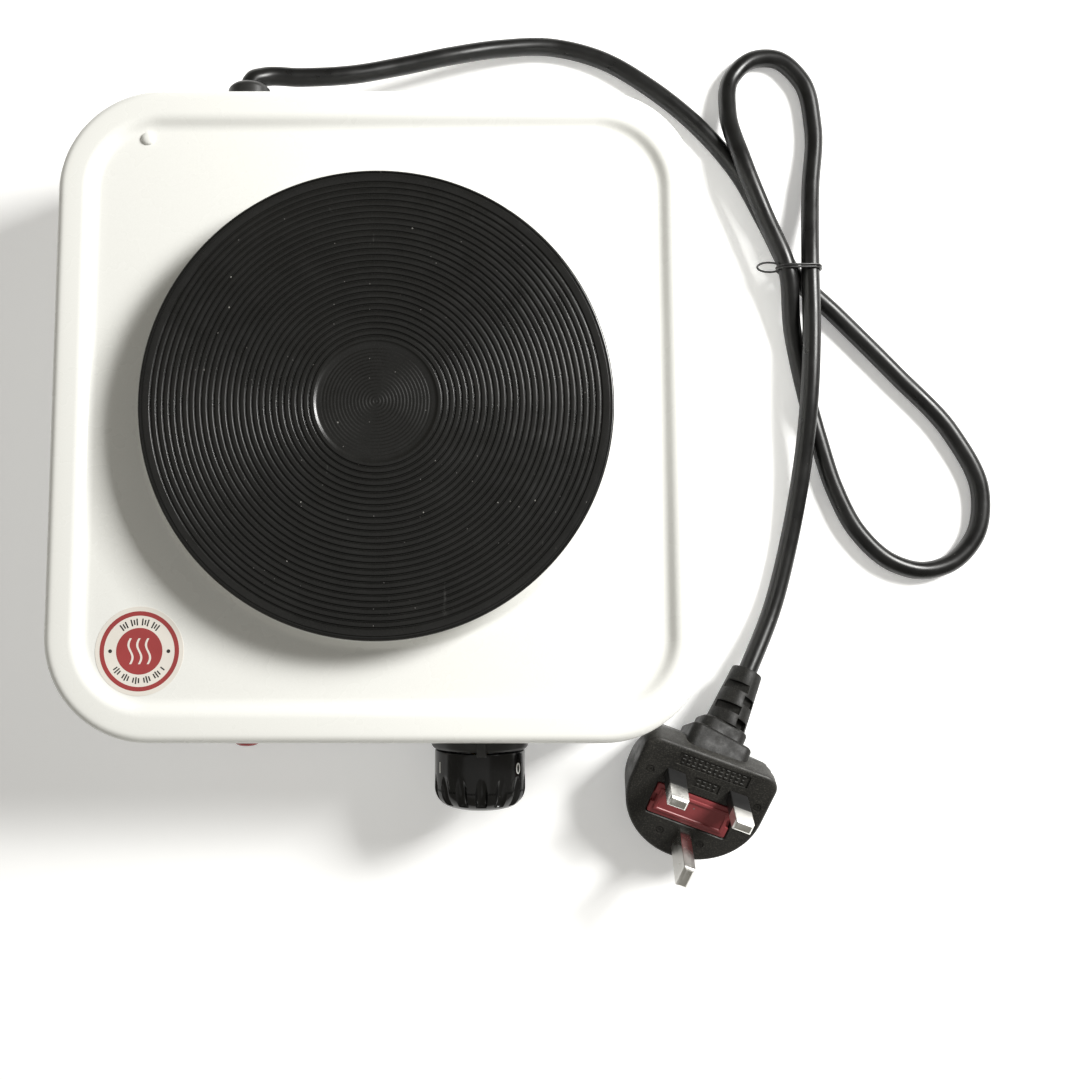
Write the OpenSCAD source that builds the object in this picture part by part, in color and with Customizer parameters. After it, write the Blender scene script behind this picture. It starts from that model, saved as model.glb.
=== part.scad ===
// Electric hot plate for melting candle wax, with its lead and plug.
// Units are millimetres. +X is right, +Y is back, +Z is up, and the feet stand on z = 0.

/* [Body] */
// width of the pressed body
body_w = 212; // [180:1:240]
// depth of the pressed body
body_d = 215; // [180:1:240]
// height of the rim above the table
rim_z = 55; // [45:1:70]
// corner radius of the body seen from above
corner_r = 34; // [24:1:45]
// thickness of the sheet steel
sheet = 0.8; // [0.5:0.1:1.2]
// radius of the rolled top edge
edge_r = 3; // [2:0.5:6]
// width of the flat rim and its rolled edge
rim_w = 9.6; // [6:0.5:14]
// width of the slope inside the rim
step_w = 3.2; // [2:0.1:5]
// depth of the panel below the rim
step_h = 2.5; // [1:0.1:4]
// height of the rubber feet
foot_h = 8; // [4:1:14]

/* [Plate] */
// diameter of the cast plate
plate_d = 150; // [120:1:156]
// height of the plate's top above the table
plate_z = 65.5; // [60:0.5:75]
// plate centre, right of the body's centre
plate_x = 0.5; // [-2:0.5:2]
// plate centre, in front of the body's centre
plate_front = 0; // [-2:0.5:2]
// distance between the wide grooves
groove_pitch = 2; // [1.6:0.1:3]
// depth of the wide grooves
groove_depth = 0.5; // [0.2:0.1:0.8]
// diameter of the sunk disc in the middle
centre_d = 39; // [30:1:50]
// distance between the fine grooves in the sunk disc
fine_pitch = 1.1; // [0.8:0.1:1.5]
// radius of the collar where it meets the panel
collar_r = 78.3; // [70:0.1:80]

/* [Controls] */
// knob centre, right of the body's centre
knob_x = 34; // [20:1:60]
// height of the knob's axis
knob_z = 27; // [20:1:34]
// diameter of the knob
knob_d = 30.5; // [26:0.5:36]
// how far the knob's nose stands out of the front wall
knob_out = 25; // [20:1:32]
// diameter of the fixed ring behind the knob
bezel_d = 33.4; // [30:0.2:40]
// number of grip flutes round the knob's nose
flutes = 14; // [8:1:24]
// lamp centre, left of the body's centre
lamp_x = 45; // [30:1:60]
// diameter of the lamp's lens
lamp_d = 9.4; // [8:0.2:12]

/* [Lead] */
// diameter of the lead
lead_d = 6.6; // [5.5:0.1:8]
// gland centre, left of the body's centre
gland_x = 47; // [30:1:60]
// height of the gland's axis
gland_z = 31; // [20:1:34]
// how far the gland stands out of the back wall
gland_out = 12; // [10:1:20]
// sides of the lead's tube
lead_sides = 10; // [8:1:12]

/* [Plug] */
// turn of the plug on the table, in degrees
plug_turn = -20; // [-40:1:0]
// lean of the plug's face, in degrees
plug_lean = 23; // [10:1:30]
// width of the plug
plug_w = 47; // [44:0.5:54]
// depth of the plug behind its face
plug_t = 24; // [18:1:28]

/* [Hidden] */

body_y = (knob_out - gland_out) / 2;
front_y = body_y - body_d / 2;
back_y = body_y + body_d / 2;
panel_z = rim_z - step_h;
plate_y = body_y - plate_front;
straight_x = body_w / 2 - corner_r;
straight_y = body_d / 2 - corner_r;
collar_z = plate_z - 7;
hub_z = plate_z - 15;
hub_r = 64;
cover_z = hub_z - sheet;
strap_z = hub_z - 10.5;
strap_reach = 90;
base_z = foot_h;
base_top = base_z + sheet;
foot_x = body_w / 2 - 20;
foot_y = 66;
ring_radii = [28, 48];
wire_r = 1.1;
tail_y = back_y - 14;
block_y = tail_y - 36;

// ---------- helpers ----------

// arc points round a centre, from one angle to another
function arc(centre, r, from, to, steps) =
    [for (i = [0:steps]) let (a = from + (to - from) * i / steps)
        centre + r * [cos(a), sin(a)]];

// a round bar between two points
module rod(p, q, r) {
    v = q - p;
    turn = atan2(v[1], v[0]);
    lean = acos(v[2] / norm(v));
    translate(p)
        rotate([0, lean, turn])
            cylinder(r = r, h = norm(v));
}

// slope of a line at one of its points, weighted by the lengths on either side
function slope_at(points, ends, i) = let (n = len(points))
    i == 0 ? ends[0] :
    i == n - 1 ? ends[1] :
    let (a = points[i] - points[i - 1], b = points[i + 1] - points[i], la = norm(a), lb = norm(b))
        (b / lb * la + a / la * lb) / (la + lb);

// a point on the smooth line between two of its points
function between(points, ends, i, t) = let (
        p = points[i], q = points[i + 1], d = norm(q - p),
        m = slope_at(points, ends, i) * d, n = slope_at(points, ends, i + 1) * d
    )
    p * (2 * t * t * t - 3 * t * t + 1) + m * (t * t * t - 2 * t * t + t)
    + q * (3 * t * t - 2 * t * t * t) + n * (t * t * t - t * t);

function smooth_line(points, ends, steps) = concat(
    [for (i = [0:len(points) - 2], k = [0:steps - 1]) between(points, ends, i, k / steps)],
    [points[len(points) - 1]]
);

// one ring of a tube, square to its line and turned to face an axis that the line never follows
function ring(line, ends, i, r, sides, axis) = let (
        n = len(line),
        ahead = i == n - 1 ? ends[1] : i == 0 ? ends[0] : line[i + 1] - line[i - 1],
        side = cross(ahead, axis) / norm(cross(ahead, axis)),
        up = cross(side, ahead) / norm(ahead)
    )
    [for (k = [0:sides - 1]) line[i] + r * (cos(360 * k / sides) * side
                                            + sin(360 * k / sides) * up)];

module tube(line, ends, r, sides, axis) {
    n = len(line);
    points = [for (i = [0:n - 1]) each ring(line, ends, i, r, sides, axis)];
    walls = [for (i = [0:n - 2], k = [0:sides - 1]) let (j = (k + 1) % sides)
        [i * sides + k, i * sides + j, (i + 1) * sides + j, (i + 1) * sides + k]];
    polyhedron(points, concat(
        [[for (k = [sides - 1:-1:0]) k]],
        walls,
        [[for (k = [0:sides - 1]) (n - 1) * sides + k]]
    ));
}

// a bent wire through a list of points
module wire(points, r = wire_r, axis = [0, 0, 1]) {
    n = len(points);
    ends = [(points[1] - points[0]) / norm(points[1] - points[0]),
            (points[n - 1] - points[n - 2]) / norm(points[n - 1] - points[n - 2])];
    tube(smooth_line(points, ends, 3), ends, r, 8, axis);
}

// a plate with four rounded corners, made of exact arcs
module rounded_plate(w, d, r, h) {
    linear_extrude(h) {
        square([w - 2 * r, d], center = true);
        square([w, d - 2 * r], center = true);
        for (x = [-1, 1], y = [-1, 1])
            translate([x * (w / 2 - r), y * (d / 2 - r)])
                circle(r = r);
    }
}

// something turned about an axis that leaves the front wall
module on_front(x, z) {
    translate([x, front_y, z])
        rotate([90, 0, 0])
            children();
}

// ---------- pressed body ----------

// section of the pressed shell from a corner's centre to its outer wall
function shell_section() = let (
        fold = sheet * tan(atan2(step_h, step_w) / 2),
        slope_out = corner_r - rim_w,
        slope_in = slope_out - step_w,
        roll = [corner_r - edge_r, rim_z - edge_r]
    ) concat(
        [[0, panel_z], [slope_in, panel_z], [slope_out, rim_z]],
        arc(roll, edge_r, 90, 0, 6),
        [[corner_r, base_z], [corner_r - sheet, base_z]],
        arc(roll, edge_r - sheet, 0, 90, 6),
        [[slope_out + fold, rim_z - sheet],
         [slope_in + fold, panel_z - sheet],
         [0, panel_z - sheet]]
    );

// one straight side of the shell, running along its own X
module shell_side(length) {
    rotate([90, 0, 90])
        linear_extrude(length, center = true)
            polygon(shell_section());
}

module shell() {
    for (i = [0:3])
        translate([(i == 0 || i == 3 ? 1 : -1) * straight_x, (i < 2 ? 1 : -1) * straight_y, 0])
            rotate([0, 0, 90 * i])
                rotate_extrude(angle = 90)
                    polygon(shell_section());
    for (s = [0, 180])
        rotate([0, 0, s]) {
            translate([0, straight_y, 0])
                shell_side(2 * straight_x);
            translate([straight_x, 0, 0])
                rotate([0, 0, -90])
                    shell_side(2 * straight_y);
        }
    translate([-straight_x, -straight_y, panel_z - sheet])
        cube([2 * straight_x, 2 * straight_y, sheet]);
}

// raised collar that carries the cast plate
module collar() {
    lip = collar_z - sheet;
    rotate_extrude()
        polygon([[66, lip], [66, collar_z], [74, collar_z], [collar_r, panel_z],
                 [80, panel_z], [80, panel_z - sheet], [collar_r - 0.6, panel_z - sheet],
                 [73.6, lip]]);
}

module housing() {
    color("white")
        difference() {
            union() {
                difference() {
                    translate([0, body_y, 0])
                        shell();
                    translate([plate_x, plate_y, panel_z - 2])
                        cylinder(r = collar_r + 0.7, h = 4);
                }
                translate([plate_x, plate_y, 0])
                    collar();
                translate([-76.7, 97.7, panel_z - 0.4])
                    intersection() {
                        sphere(r = 2.3);
                        cylinder(r = 3, h = 3);
                    }
            }
            on_front(knob_x, knob_z)
                cylinder(r = 5, h = 20, center = true);
            on_front(-lamp_x, knob_z)
                cylinder(r = 4, h = 20, center = true);
            translate([-gland_x, back_y, gland_z])
                rotate([90, 0, 0])
                    cylinder(r = 6, h = 20, center = true);
        }
}

// ---------- base, feet and their fixings ----------

module at_feet() {
    for (x = [-foot_x, foot_x], y = [-foot_y, foot_y])
        translate([x, body_y + y, 0])
            children();
}

module base_plate() {
    gap = sheet + 0.3;
    color("silver")
        difference() {
            translate([0, body_y, base_z])
                rounded_plate(body_w - 2 * gap, body_d - 2 * gap, corner_r - gap, sheet);
            at_feet()
                cylinder(r = 2.2, h = 20);
            translate([-80, body_y + 50, 0])
                cylinder(r = 2, h = 20);
            for (x = [-27:9:27], y = [-32, 32])
                translate([x - 2, body_y + y - 15, 0])
                    cube([4, 30, 20]);
        }
}

module corner_brackets() {
    wall = body_w / 2 - sheet;
    color("silver")
        difference() {
            for (s = [-1, 1], y = [-foot_y, foot_y])
                translate([0, body_y + y - 6, base_top])
                    mirror([s < 0 ? 1 : 0, 0, 0]) {
                        translate([foot_x - 8, 0, 0])
                            cube([wall - foot_x + 8, 12, 1.5]);
                        translate([wall - 1.5, 0, 0])
                            cube([1.5, 12, 14]);
                    }
            at_feet()
                cylinder(r = 2, h = 20);
        }
}

module feet() {
    color("black")
        at_feet()
            rotate_extrude()
                polygon([[2.2, 4], [4.5, 4], [4.5, 0], [6.8, 0], [8.5, foot_h], [2.2, foot_h]]);
}

module foot_screws() {
    color("silver")
        at_feet()
            difference() {
                union() {
                    translate([0, 0, 1.6])
                        cylinder(r = 4, h = 2.4);
                    translate([0, 0, 4])
                        cylinder(r = 2, h = foot_h + 1);
                }
                for (a = [0, 90])
                    rotate([0, 0, a])
                        translate([-2.4, -0.5, 0])
                            cube([4.8, 1, 2.6]);
            }
}

// ---------- cast plate and heating element ----------

function wide_grooves() = [for (r = [74 - groove_pitch:-groove_pitch:centre_d / 2 + 1])
    each [[r + 0.45, plate_z], [r + 0.15, plate_z - groove_depth],
          [r - 0.15, plate_z - groove_depth], [r - 0.45, plate_z]]];

function fine_grooves() = let (floor_z = plate_z - 0.6, n = floor(centre_d / 2 / fine_pitch) - 1)
    [for (i = [n:-1:0]) each [[(i + 1) * fine_pitch, floor_z],
                              [(i + 0.5) * fine_pitch, floor_z - 0.25]]];

module heating_plate() {
    rim_r = plate_d / 2;
    channels = [for (r = [ring_radii[1], ring_radii[0]])
        each [[r + 5, hub_z], [r + 5, hub_z + 5.4], [r - 5, hub_z + 5.4], [r - 5, hub_z]]];
    outline = concat(
        [[0, hub_z + 4], [0, plate_z - 0.6]],
        [for (i = [len(fine_grooves()) - 1:-1:0]) fine_grooves()[i]],
        [[centre_d / 2 - 0.6, plate_z - 0.6], [centre_d / 2, plate_z]],
        [for (i = [len(wide_grooves()) - 1:-1:0]) wide_grooves()[i]],
        [[rim_r - 1.6, plate_z], [rim_r - 1.4, plate_z - 0.4], [rim_r - 0.9, plate_z - 0.4],
         [rim_r - 0.7, plate_z - 0.1], [rim_r - 0.3, plate_z - 0.2], [rim_r, plate_z - 0.7],
         [rim_r, collar_z + 0.6], [rim_r - 0.6, collar_z], [hub_r, collar_z], [hub_r, hub_z]],
        channels,
        [[3, hub_z], [3, hub_z + 4]]
    );
    color("black")
        translate([plate_x, plate_y, 0])
            rotate_extrude()
                polygon(outline);
}

// the pins that carry current up into the two rings of winding
module pin_shape() {
    for (r = ring_radii)
        translate([plate_x, plate_y + r, hub_z - 14])
            cylinder(r = 1.2, h = 17);
}

module element_coils() {
    color("silver")
        difference() {
            translate([plate_x, plate_y, hub_z + 2.8])
                rotate_extrude() {
                    translate([ring_radii[0], 0])
                        circle(r = 2);
                    translate([ring_radii[1], 0])
                        circle(r = 2);
                }
            pin_shape();
        }
}

module element_cement() {
    color("ivory")
        difference() {
            translate([plate_x, plate_y, hub_z])
                rotate_extrude()
                    for (r = ring_radii)
                        difference() {
                            translate([r - 5, 0])
                                square([10, 5.4]);
                            translate([r, 2.8])
                                circle(r = 2);
                        }
            pin_shape();
        }
}

module plate_cover() {
    color("silver")
        difference() {
            translate([plate_x, plate_y, cover_z])
                cylinder(r = 62, h = sheet);
            translate([plate_x, plate_y, cover_z - 1])
                cylinder(r = 3, h = 4);
            for (r = ring_radii)
                translate([plate_x, plate_y + r, cover_z - 1])
                    cylinder(r = 3.2, h = 4);
        }
}

module terminal_pins() {
    color("silver")
        pin_shape();
}

module terminal_beads() {
    color("ivory")
        for (r = ring_radii)
            translate([plate_x, plate_y + r, 0])
                rotate_extrude()
                    polygon([[1.2, cover_z - 5], [4.4, cover_z - 5], [4.4, cover_z],
                             [3.2, cover_z], [3.2, hub_z], [1.2, hub_z]]);
}

// ---------- the strap that holds the plate down ----------

module plate_stud() {
    color("silver")
        translate([plate_x, plate_y, strap_z - 10])
            cylinder(r = 3, h = hub_z + 4 - strap_z + 10);
}

module plate_strap() {
    top = panel_z - sheet;
    thick = 1.5;
    color("silver")
        difference() {
            translate([plate_x, plate_y - 8, 0])
                for (s = [0, 1])
                    mirror([s, 0, 0]) {
                        translate([0, 0, strap_z])
                            cube([strap_reach - 9, 16, thick]);
                        translate([strap_reach - 9 - thick, 0, strap_z])
                            cube([thick, 16, top - strap_z]);
                        translate([strap_reach - 9 - thick, 0, top - thick])
                            cube([9 + thick, 16, thick]);
                    }
            translate([plate_x, plate_y, strap_z - 1])
                cylinder(r = 3, h = 4);
        }
}

module stud_washer() {
    color("silver")
        translate([plate_x, plate_y, strap_z - 1.2])
            difference() {
                cylinder(r = 6.5, h = 1.2);
                translate([0, 0, -1])
                    cylinder(r = 3, h = 4);
            }
}

module stud_nut() {
    color("silver")
        translate([plate_x, plate_y, strap_z - 6.2])
            difference() {
                cylinder(r = 5.77, h = 5, $fn = 6);
                translate([0, 0, -1])
                    cylinder(r = 3, h = 7);
            }
}

// ---------- thermostat ----------

// places a part of the thermostat; its own +Z leads into the body from the front wall
module in_thermostat(y, z = 0) {
    translate([knob_x, front_y + sheet + y, knob_z + z])
        rotate([-90, 0, 0])
            children();
}

module thermostat_frame() {
    t = 1.2;
    color("silver")
        difference() {
            translate([knob_x - 13, front_y + sheet, 0]) {
                translate([0, 0, knob_z - 12])
                    cube([26, t, 24]);
                translate([0, 0, knob_z + 12 - t])
                    cube([26, 20, t]);
                translate([8, 20 - t, knob_z - 8])
                    cube([10, t, 20]);
                translate([3, 20 - t, knob_z + 12 - t])
                    cube([20, t, 11 + t]);
            }
            in_thermostat(-1)
                cylinder(r = 5, h = 4);
            in_thermostat(17)
                cylinder(r = 1.6, h = 5);
            in_thermostat(17, 17)
                cylinder(r = 1.5, h = 5);
        }
}

module thermostat_bush() {
    color("gold")
        on_front(knob_x, knob_z)
            translate([0, 0, -10])
                difference() {
                    union() {
                        cylinder(r = 5, h = 14.2);
                        cylinder(r = 7, h = 10 - sheet - 1.2);
                    }
                    translate([0, 0, -1])
                        cylinder(r = 3.06, h = 20);
                }
}

module bush_nut() {
    color("gold")
        on_front(knob_x, knob_z)
            translate([0, 0, 1.2])
                difference() {
                    cylinder(r = 8, h = 2.8, $fn = 6);
                    translate([0, 0, -1])
                        cylinder(r = 5, h = 6);
                }
}

// the three insulating rings that hold the two blades apart
module ceramic_stack() {
    color("ivory")
        for (y = [20, 23, 26])
            in_thermostat(y, 17)
                difference() {
                    cylinder(r = 4.5, h = 2.6);
                    translate([0, 0, -1])
                        cylinder(r = 1.5, h = 5);
                }
}

module spring_blades() {
    color("gold")
        difference() {
            for (y = [22.6, 25.6])
                translate([knob_x - 3.5, front_y + sheet + y, knob_z - 7])
                    cube([7, 0.4, 29]);
            in_thermostat(20, 17)
                cylinder(r = 1.5, h = 8);
        }
}

module contact_buttons() {
    color("silver")
        for (y = [23, 24.35])
            in_thermostat(y, -4)
                cylinder(r = 1.8, h = 1.25);
}

module stack_rivet() {
    color("silver")
        in_thermostat(18, 17)
            union() {
                cylinder(r = 1.5, h = 11.4);
                cylinder(r = 2.8, h = 0.8);
                translate([0, 0, 10.6])
                    cylinder(r = 2.8, h = 1);
            }
}

module striker_pin() {
    color("ivory")
        in_thermostat(12.6)
            cylinder(r = 1.5, h = 9);
}

module spindle_shape() {
    on_front(knob_x, knob_z)
        difference() {
            translate([0, 0, -13])
                cylinder(r = 3, h = 31);
            translate([-4, 2, 6])
                cube([8, 4, 14]);
        }
}

module spindle() {
    color("silver")
        spindle_shape();
}

// ---------- knob, its fixed ring and the lamp ----------

// outline of the knob from its skirt to the middle of its nose, along its own axis
function knob_nose(r, nose) = concat(
    arc([r - 6.5, nose - 7.6], 6.5, 0, 66, 6),
    [[r - 6.5, nose - 0.9], [r - 10.5, nose - 0.25], [0, nose]]
);

module knob() {
    r = knob_d / 2;
    skirt = 4.9;
    color("black")
        difference() {
            on_front(knob_x, knob_z)
                difference() {
                    rotate_extrude()
                        polygon(concat(
                            [[0, 6.5], [4.6, 6.5], [4.6, 17], [r - 2.2, 17], [r - 2.2, skirt],
                             [r - 0.3, skirt], [r, skirt + 0.4]],
                            knob_nose(r, knob_out)
                        ));
                    for (i = [0:flutes - 1])
                        rotate([0, 0, 360 / flutes * (i + 0.5)])
                            translate([r + 1.9, 0, knob_out - 11.5])
                                rotate([0, -15, 0])
                                    cylinder(r = 1.85, h = 8.6);
                }
            spindle_shape();
        }
}

module knob_bezel() {
    r = bezel_d / 2;
    color("black")
        on_front(knob_x, knob_z)
            difference() {
                union() {
                    rotate_extrude()
                        polygon([[5.2, 0], [r - 0.6, 0], [r, 1.6], [r - 0.4, 3.6],
                                 [r - 1, 4.4], [11, 4.4], [11, 1.2], [5.2, 1.2]]);
                    translate([-1.6, r - 1.5, 1])
                        cube([3.2, 2.1, 4.7]);
                }
                translate([-3, r - 5.5, 4.45])
                    cube([6, 4.2, 3]);
            }
}

module lamp_lens() {
    r = lamp_d / 2;
    color("red")
        on_front(-lamp_x, knob_z)
            rotate_extrude()
                polygon(concat([[0, -6], [4, -6], [4, 0], [r, 0]],
                               arc([r - 2.5, 1.4], 2.5, 0, 70, 4),
                               [[0, 4.1]]));
}

module lamp_body() {
    color("white")
        on_front(-lamp_x, knob_z)
            translate([0, 0, -24])
                difference() {
                    cylinder(r = 5, h = 22);
                    translate([0, 0, 18])
                        cylinder(r = 4, h = 5);
                }
}

module lamp_clip() {
    color("silver")
        on_front(-lamp_x, knob_z)
            translate([0, 0, -sheet - 0.8])
                difference() {
                    cylinder(r = 7, h = 0.8);
                    translate([0, 0, -1])
                        cylinder(r = 4, h = 3);
                }
}

// ---------- wiring ----------

block_x = [-gland_x - 9, -gland_x, -gland_x + 9];

module terminal_block() {
    color("ivory")
        difference() {
            translate([-gland_x - 14, block_y, base_top])
                cube([28, 18, 16]);
            for (x = block_x) {
                translate([x, block_y - 1, base_top + 7])
                    rotate([-90, 0, 0])
                        cylinder(r = 2, h = 20);
                translate([x, block_y + 9, base_top + 7])
                    cylinder(r = 2, h = 10);
            }
        }
}

module block_screws() {
    color("gold")
        difference() {
            for (x = block_x)
                translate([x, block_y + 9, base_top + 9.2])
                    cylinder(r = 2, h = 6);
            for (x = block_x)
                translate([x - 3, block_y + 8.6, base_top + 14.4])
                    cube([6, 0.8, 2]);
        }
}

// a point on the middle of the block's front or back face
function front_hole(i) = [block_x[i], block_y, base_top + 7];
function back_hole(i) = [block_x[i], block_y + 18, base_top + 7];
function sheath_end(i) = [-gland_x + 1.6 * cos(150 + 120 * i), tail_y,
                         gland_z + 1.6 * sin(150 + 120 * i)];

// the run of one core from the lead's sheath to the back of the block
function core_run(i) = [sheath_end(i), sheath_end(i) - [0, 4, 0],
                        back_hole(i) + [0, 5, 0], back_hole(i)];

module thermal_fuse() {
    color("white")
        rod([20, -40, 30], [0, -40, 30], 3);
}

// where a wire meets a terminal pin from below
function pin_foot(i) = [plate_x, plate_y + ring_radii[i], hub_z - 14];

module wire_live() {
    blade = [knob_x, front_y + sheet, knob_z];
    color("brown") {
        wire(core_run(0));
        wire([front_hole(0), front_hole(0) - [0, 12, 0], [-30, 10, 22], [-24, -40, 30],
              [0, -40, 30]]);
        wire([[20, -40, 30], [24, -40, 30], blade + [2, 34, -3], blade + [0, 30, -3],
              blade + [0, 26, -3]]);
        wire([blade + [-3.5, 22.8, 5], blade + [-7, 22.8, 5], [27, -30, 34], [25, 20, 34],
              pin_foot(0) - [0, 0, 4], pin_foot(0)], axis = [1, 1, 0]);
    }
}

module wire_neutral() {
    color("blue") {
        wire(core_run(1));
        wire([front_hole(1), front_hole(1) - [0, 16, 0], [-14, plate_y + 54, 26],
              pin_foot(1) - [0, 0, 4], pin_foot(1)], axis = [1, 1, 0]);
    }
}

module wire_earth() {
    color("green") {
        wire(core_run(2));
        wire([front_hole(2), front_hole(2) - [0, 4, 0], [-42, body_y + 48, 22],
              [-68, body_y + 50, 22], [-73.5, body_y + 50, 14], [-73.5, body_y + 50, 9.8]],
             0.9, [1, -1, 0]);
    }
}

// the leads of the lamp, tucked into the outer holes of the block
module lamp_wires() {
    color("white")
        for (s = [-1, 1])
            wire([[-lamp_x + 2.4 * s, front_y + 24, knob_z], [-lamp_x + 2.4 * s, front_y + 30, knob_z],
                  [-52 + 2.4 * s, -20, 14], [-56 + 2.4 * s, 20, 13],
                  [block_x[1] - 4.5 + 2.4 * s, block_y - 4, base_top + 3],
                  [block_x[1] - 4.5 + 2.4 * s, block_y, base_top + 3]], 0.8);
}

module earth_screw() {
    color("gold")
        translate([-80, body_y + 50, base_z - 3]) {
            cylinder(r = 2, h = 9.8);
            translate([0, 0, 3.8])
                difference() {
                    union() {
                        cylinder(r = 4, h = 1);
                        translate([0, -2, 0])
                            cube([7, 4, 1]);
                    }
                    translate([0, 0, -1])
                        cylinder(r = 2, h = 3);
                }
            translate([0, 0, 4.8])
                cylinder(r = 4, h = 2.4, $fn = 6);
        }
}

module hot_label() {
    color("red")
        translate([-75.4, -72, panel_z])
            cylinder(r = 14.2, h = 0.15);
}

// ---------- lead ----------

module cord_gland() {
    color("black")
        translate([-gland_x, 0, gland_z])
            rotate([-90, 0, 0])
                rotate_extrude()
                    polygon(concat(
                        [[lead_d / 2, tail_y + 4], [6, tail_y + 4], [6, back_y], [7.6, back_y]],
                        arc([6.1, back_y + gland_out - 1.5], 1.5, 0, 90, 3),
                        [[lead_d / 2, back_y + gland_out]]
                    ));
}

module gland_nut() {
    color("black")
        translate([-gland_x, back_y - sheet, gland_z])
            rotate([90, 0, 0])
                difference() {
                    cylinder(r = 10, h = 5, $fn = 6);
                    translate([0, 0, -1])
                        cylinder(r = 6, h = 7);
                }
}

module lead_tail() {
    color("black")
        translate([-gland_x, tail_y, gland_z])
            rotate([-90, 0, 0])
                cylinder(r = lead_d / 2, h = back_y + gland_out - tail_y);
}

// the lead's centre line from the gland to the plug's boot
ROUTE = [
    [-47, 126, 31], [-46.1, 129, 30.3], [-42.6, 131.3, 28.2], [-30, 133, 24.5], [-12, 136, 20.5],
    [6, 141.5, 16], [24.5, 147, 13], [43.5, 152.5, 8], [63, 155, 4.2], [82, 150.5, 3.4],
    [101, 139, 3.4], [118, 124.5, 3.4], [133.5, 105.5, 3.4], [144, 85, 3.5], [153, 66, 4.2],
    [168, 51, 3.6], [190, 28, 3.4], [210, 5.5, 3.4], [219.5, -16, 3.4], [217, -32, 3.4],
    [207, -42.5, 3.4], [197, -45, 3.4], [186, -42, 3.4], [174, -31, 3.4], [166, -15, 3.4],
    [161, 2, 3.4], [156, 23, 3.5], [151.6, 45, 5.3], [148.6, 66, 10.9], [141, 86, 10.9],
    [133.5, 107, 10.8], [129.5, 128, 6.4], [132, 143, 3.5], [139.5, 150, 3.4], [149, 150.5, 3.4],
    [158.5, 142, 3.4], [162.5, 124, 3.4], [160, 98, 5.7], [157.2, 66, 10.9], [156.8, 44, 11.3],
    [155.5, 19, 10.6], [153, -8, 6.8], [148, -36, 3.9], [141.5, -58, 4.8], [129.8, -81.5, 10.7]
];
LEAD_ENDS = [[0, 1, 0], [-0.456, -0.857, 0.242]];

module power_cord() {
    color("black")
        tube(smooth_line(ROUTE, LEAD_ENDS, 2), LEAD_ENDS, lead_d / 2, lead_sides, [0, 0, 1]);
}

// the wire tie round the three strands
module cord_tie() {
    inner = lead_d / 2 + 0.1;
    strands = [[148.6, 10.9], [157.2, 10.9], [153, 4.2]];
    color("black") {
        translate([0, 67.1, 0])
            rotate([90, 0, 0])
                linear_extrude(2.2)
                    difference() {
                        hull()
                            for (p = strands)
                                translate(p)
                                    circle(r = inner + 0.6, $fn = 32);
                        hull()
                            for (p = strands)
                                translate(p)
                                    circle(r = inner, $fn = 32);
                    }
        wire([[144.8, 65.6, 12.2], [141, 64.4, 12.4], [137.4, 64.8, 12.4], [137.4, 67.2, 12.4],
              [141, 67.8, 12.4]], 0.5);
    }
}

// ---------- plug ----------

plug_at = [107, -128.5, 22];
boot_at = [117, -105.5, 17.5];
plug_middle = 4.8;

module in_plug() {
    translate(plug_at)
        rotate([0, 0, plug_turn])
            rotate([plug_lean, 0, 0])
                children();
}

// the boot's own frame; +Y leads out along the lead
module in_boot() {
    translate(boot_at)
        rotate([0, 0, -28])
            rotate([-14, 0, 0])
                children();
}

// a rounded bar across the lead, from one distance to another along it
module collar_bar(from, to, w, h, r) {
    translate([-1, to, 0])
        rotate([90, 0, 0])
            rounded_plate(w, h, r, to - from);
}

// the plug seen from its pins: round below, with two rounded shoulders
module plug_outline() {
    half = plug_w / 2;
    shoulder = 5;
    top = 22.5;
    translate([0, plug_middle])
        circle(r = half);
    translate([-half, plug_middle])
        square([plug_w, top - shoulder - plug_middle]);
    translate([shoulder - half, plug_middle])
        square([plug_w - 2 * shoulder, top - plug_middle]);
    for (x = [-1, 1])
        translate([x * (half - shoulder), top - shoulder])
            circle(r = shoulder);
}

module carrier_box(gap) {
    translate([-15 - gap, -5 - gap, -8.4 - gap])
        cube([28 + 2 * gap, 11.6 + 2 * gap, 8.4 + 2 * gap]);
}

// the narrow part of the live and neutral pins, held in the body and in the sleeves
module line_pins() {
    for (x = [-11.1, 11.1])
        translate([x - 2.5, 9.7, -5])
            cube([5, 2.8, 14.5]);
}

module earth_shape() {
    translate([-2, -15.1, -5])
        cube([4, 8, 27]);
}

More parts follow.
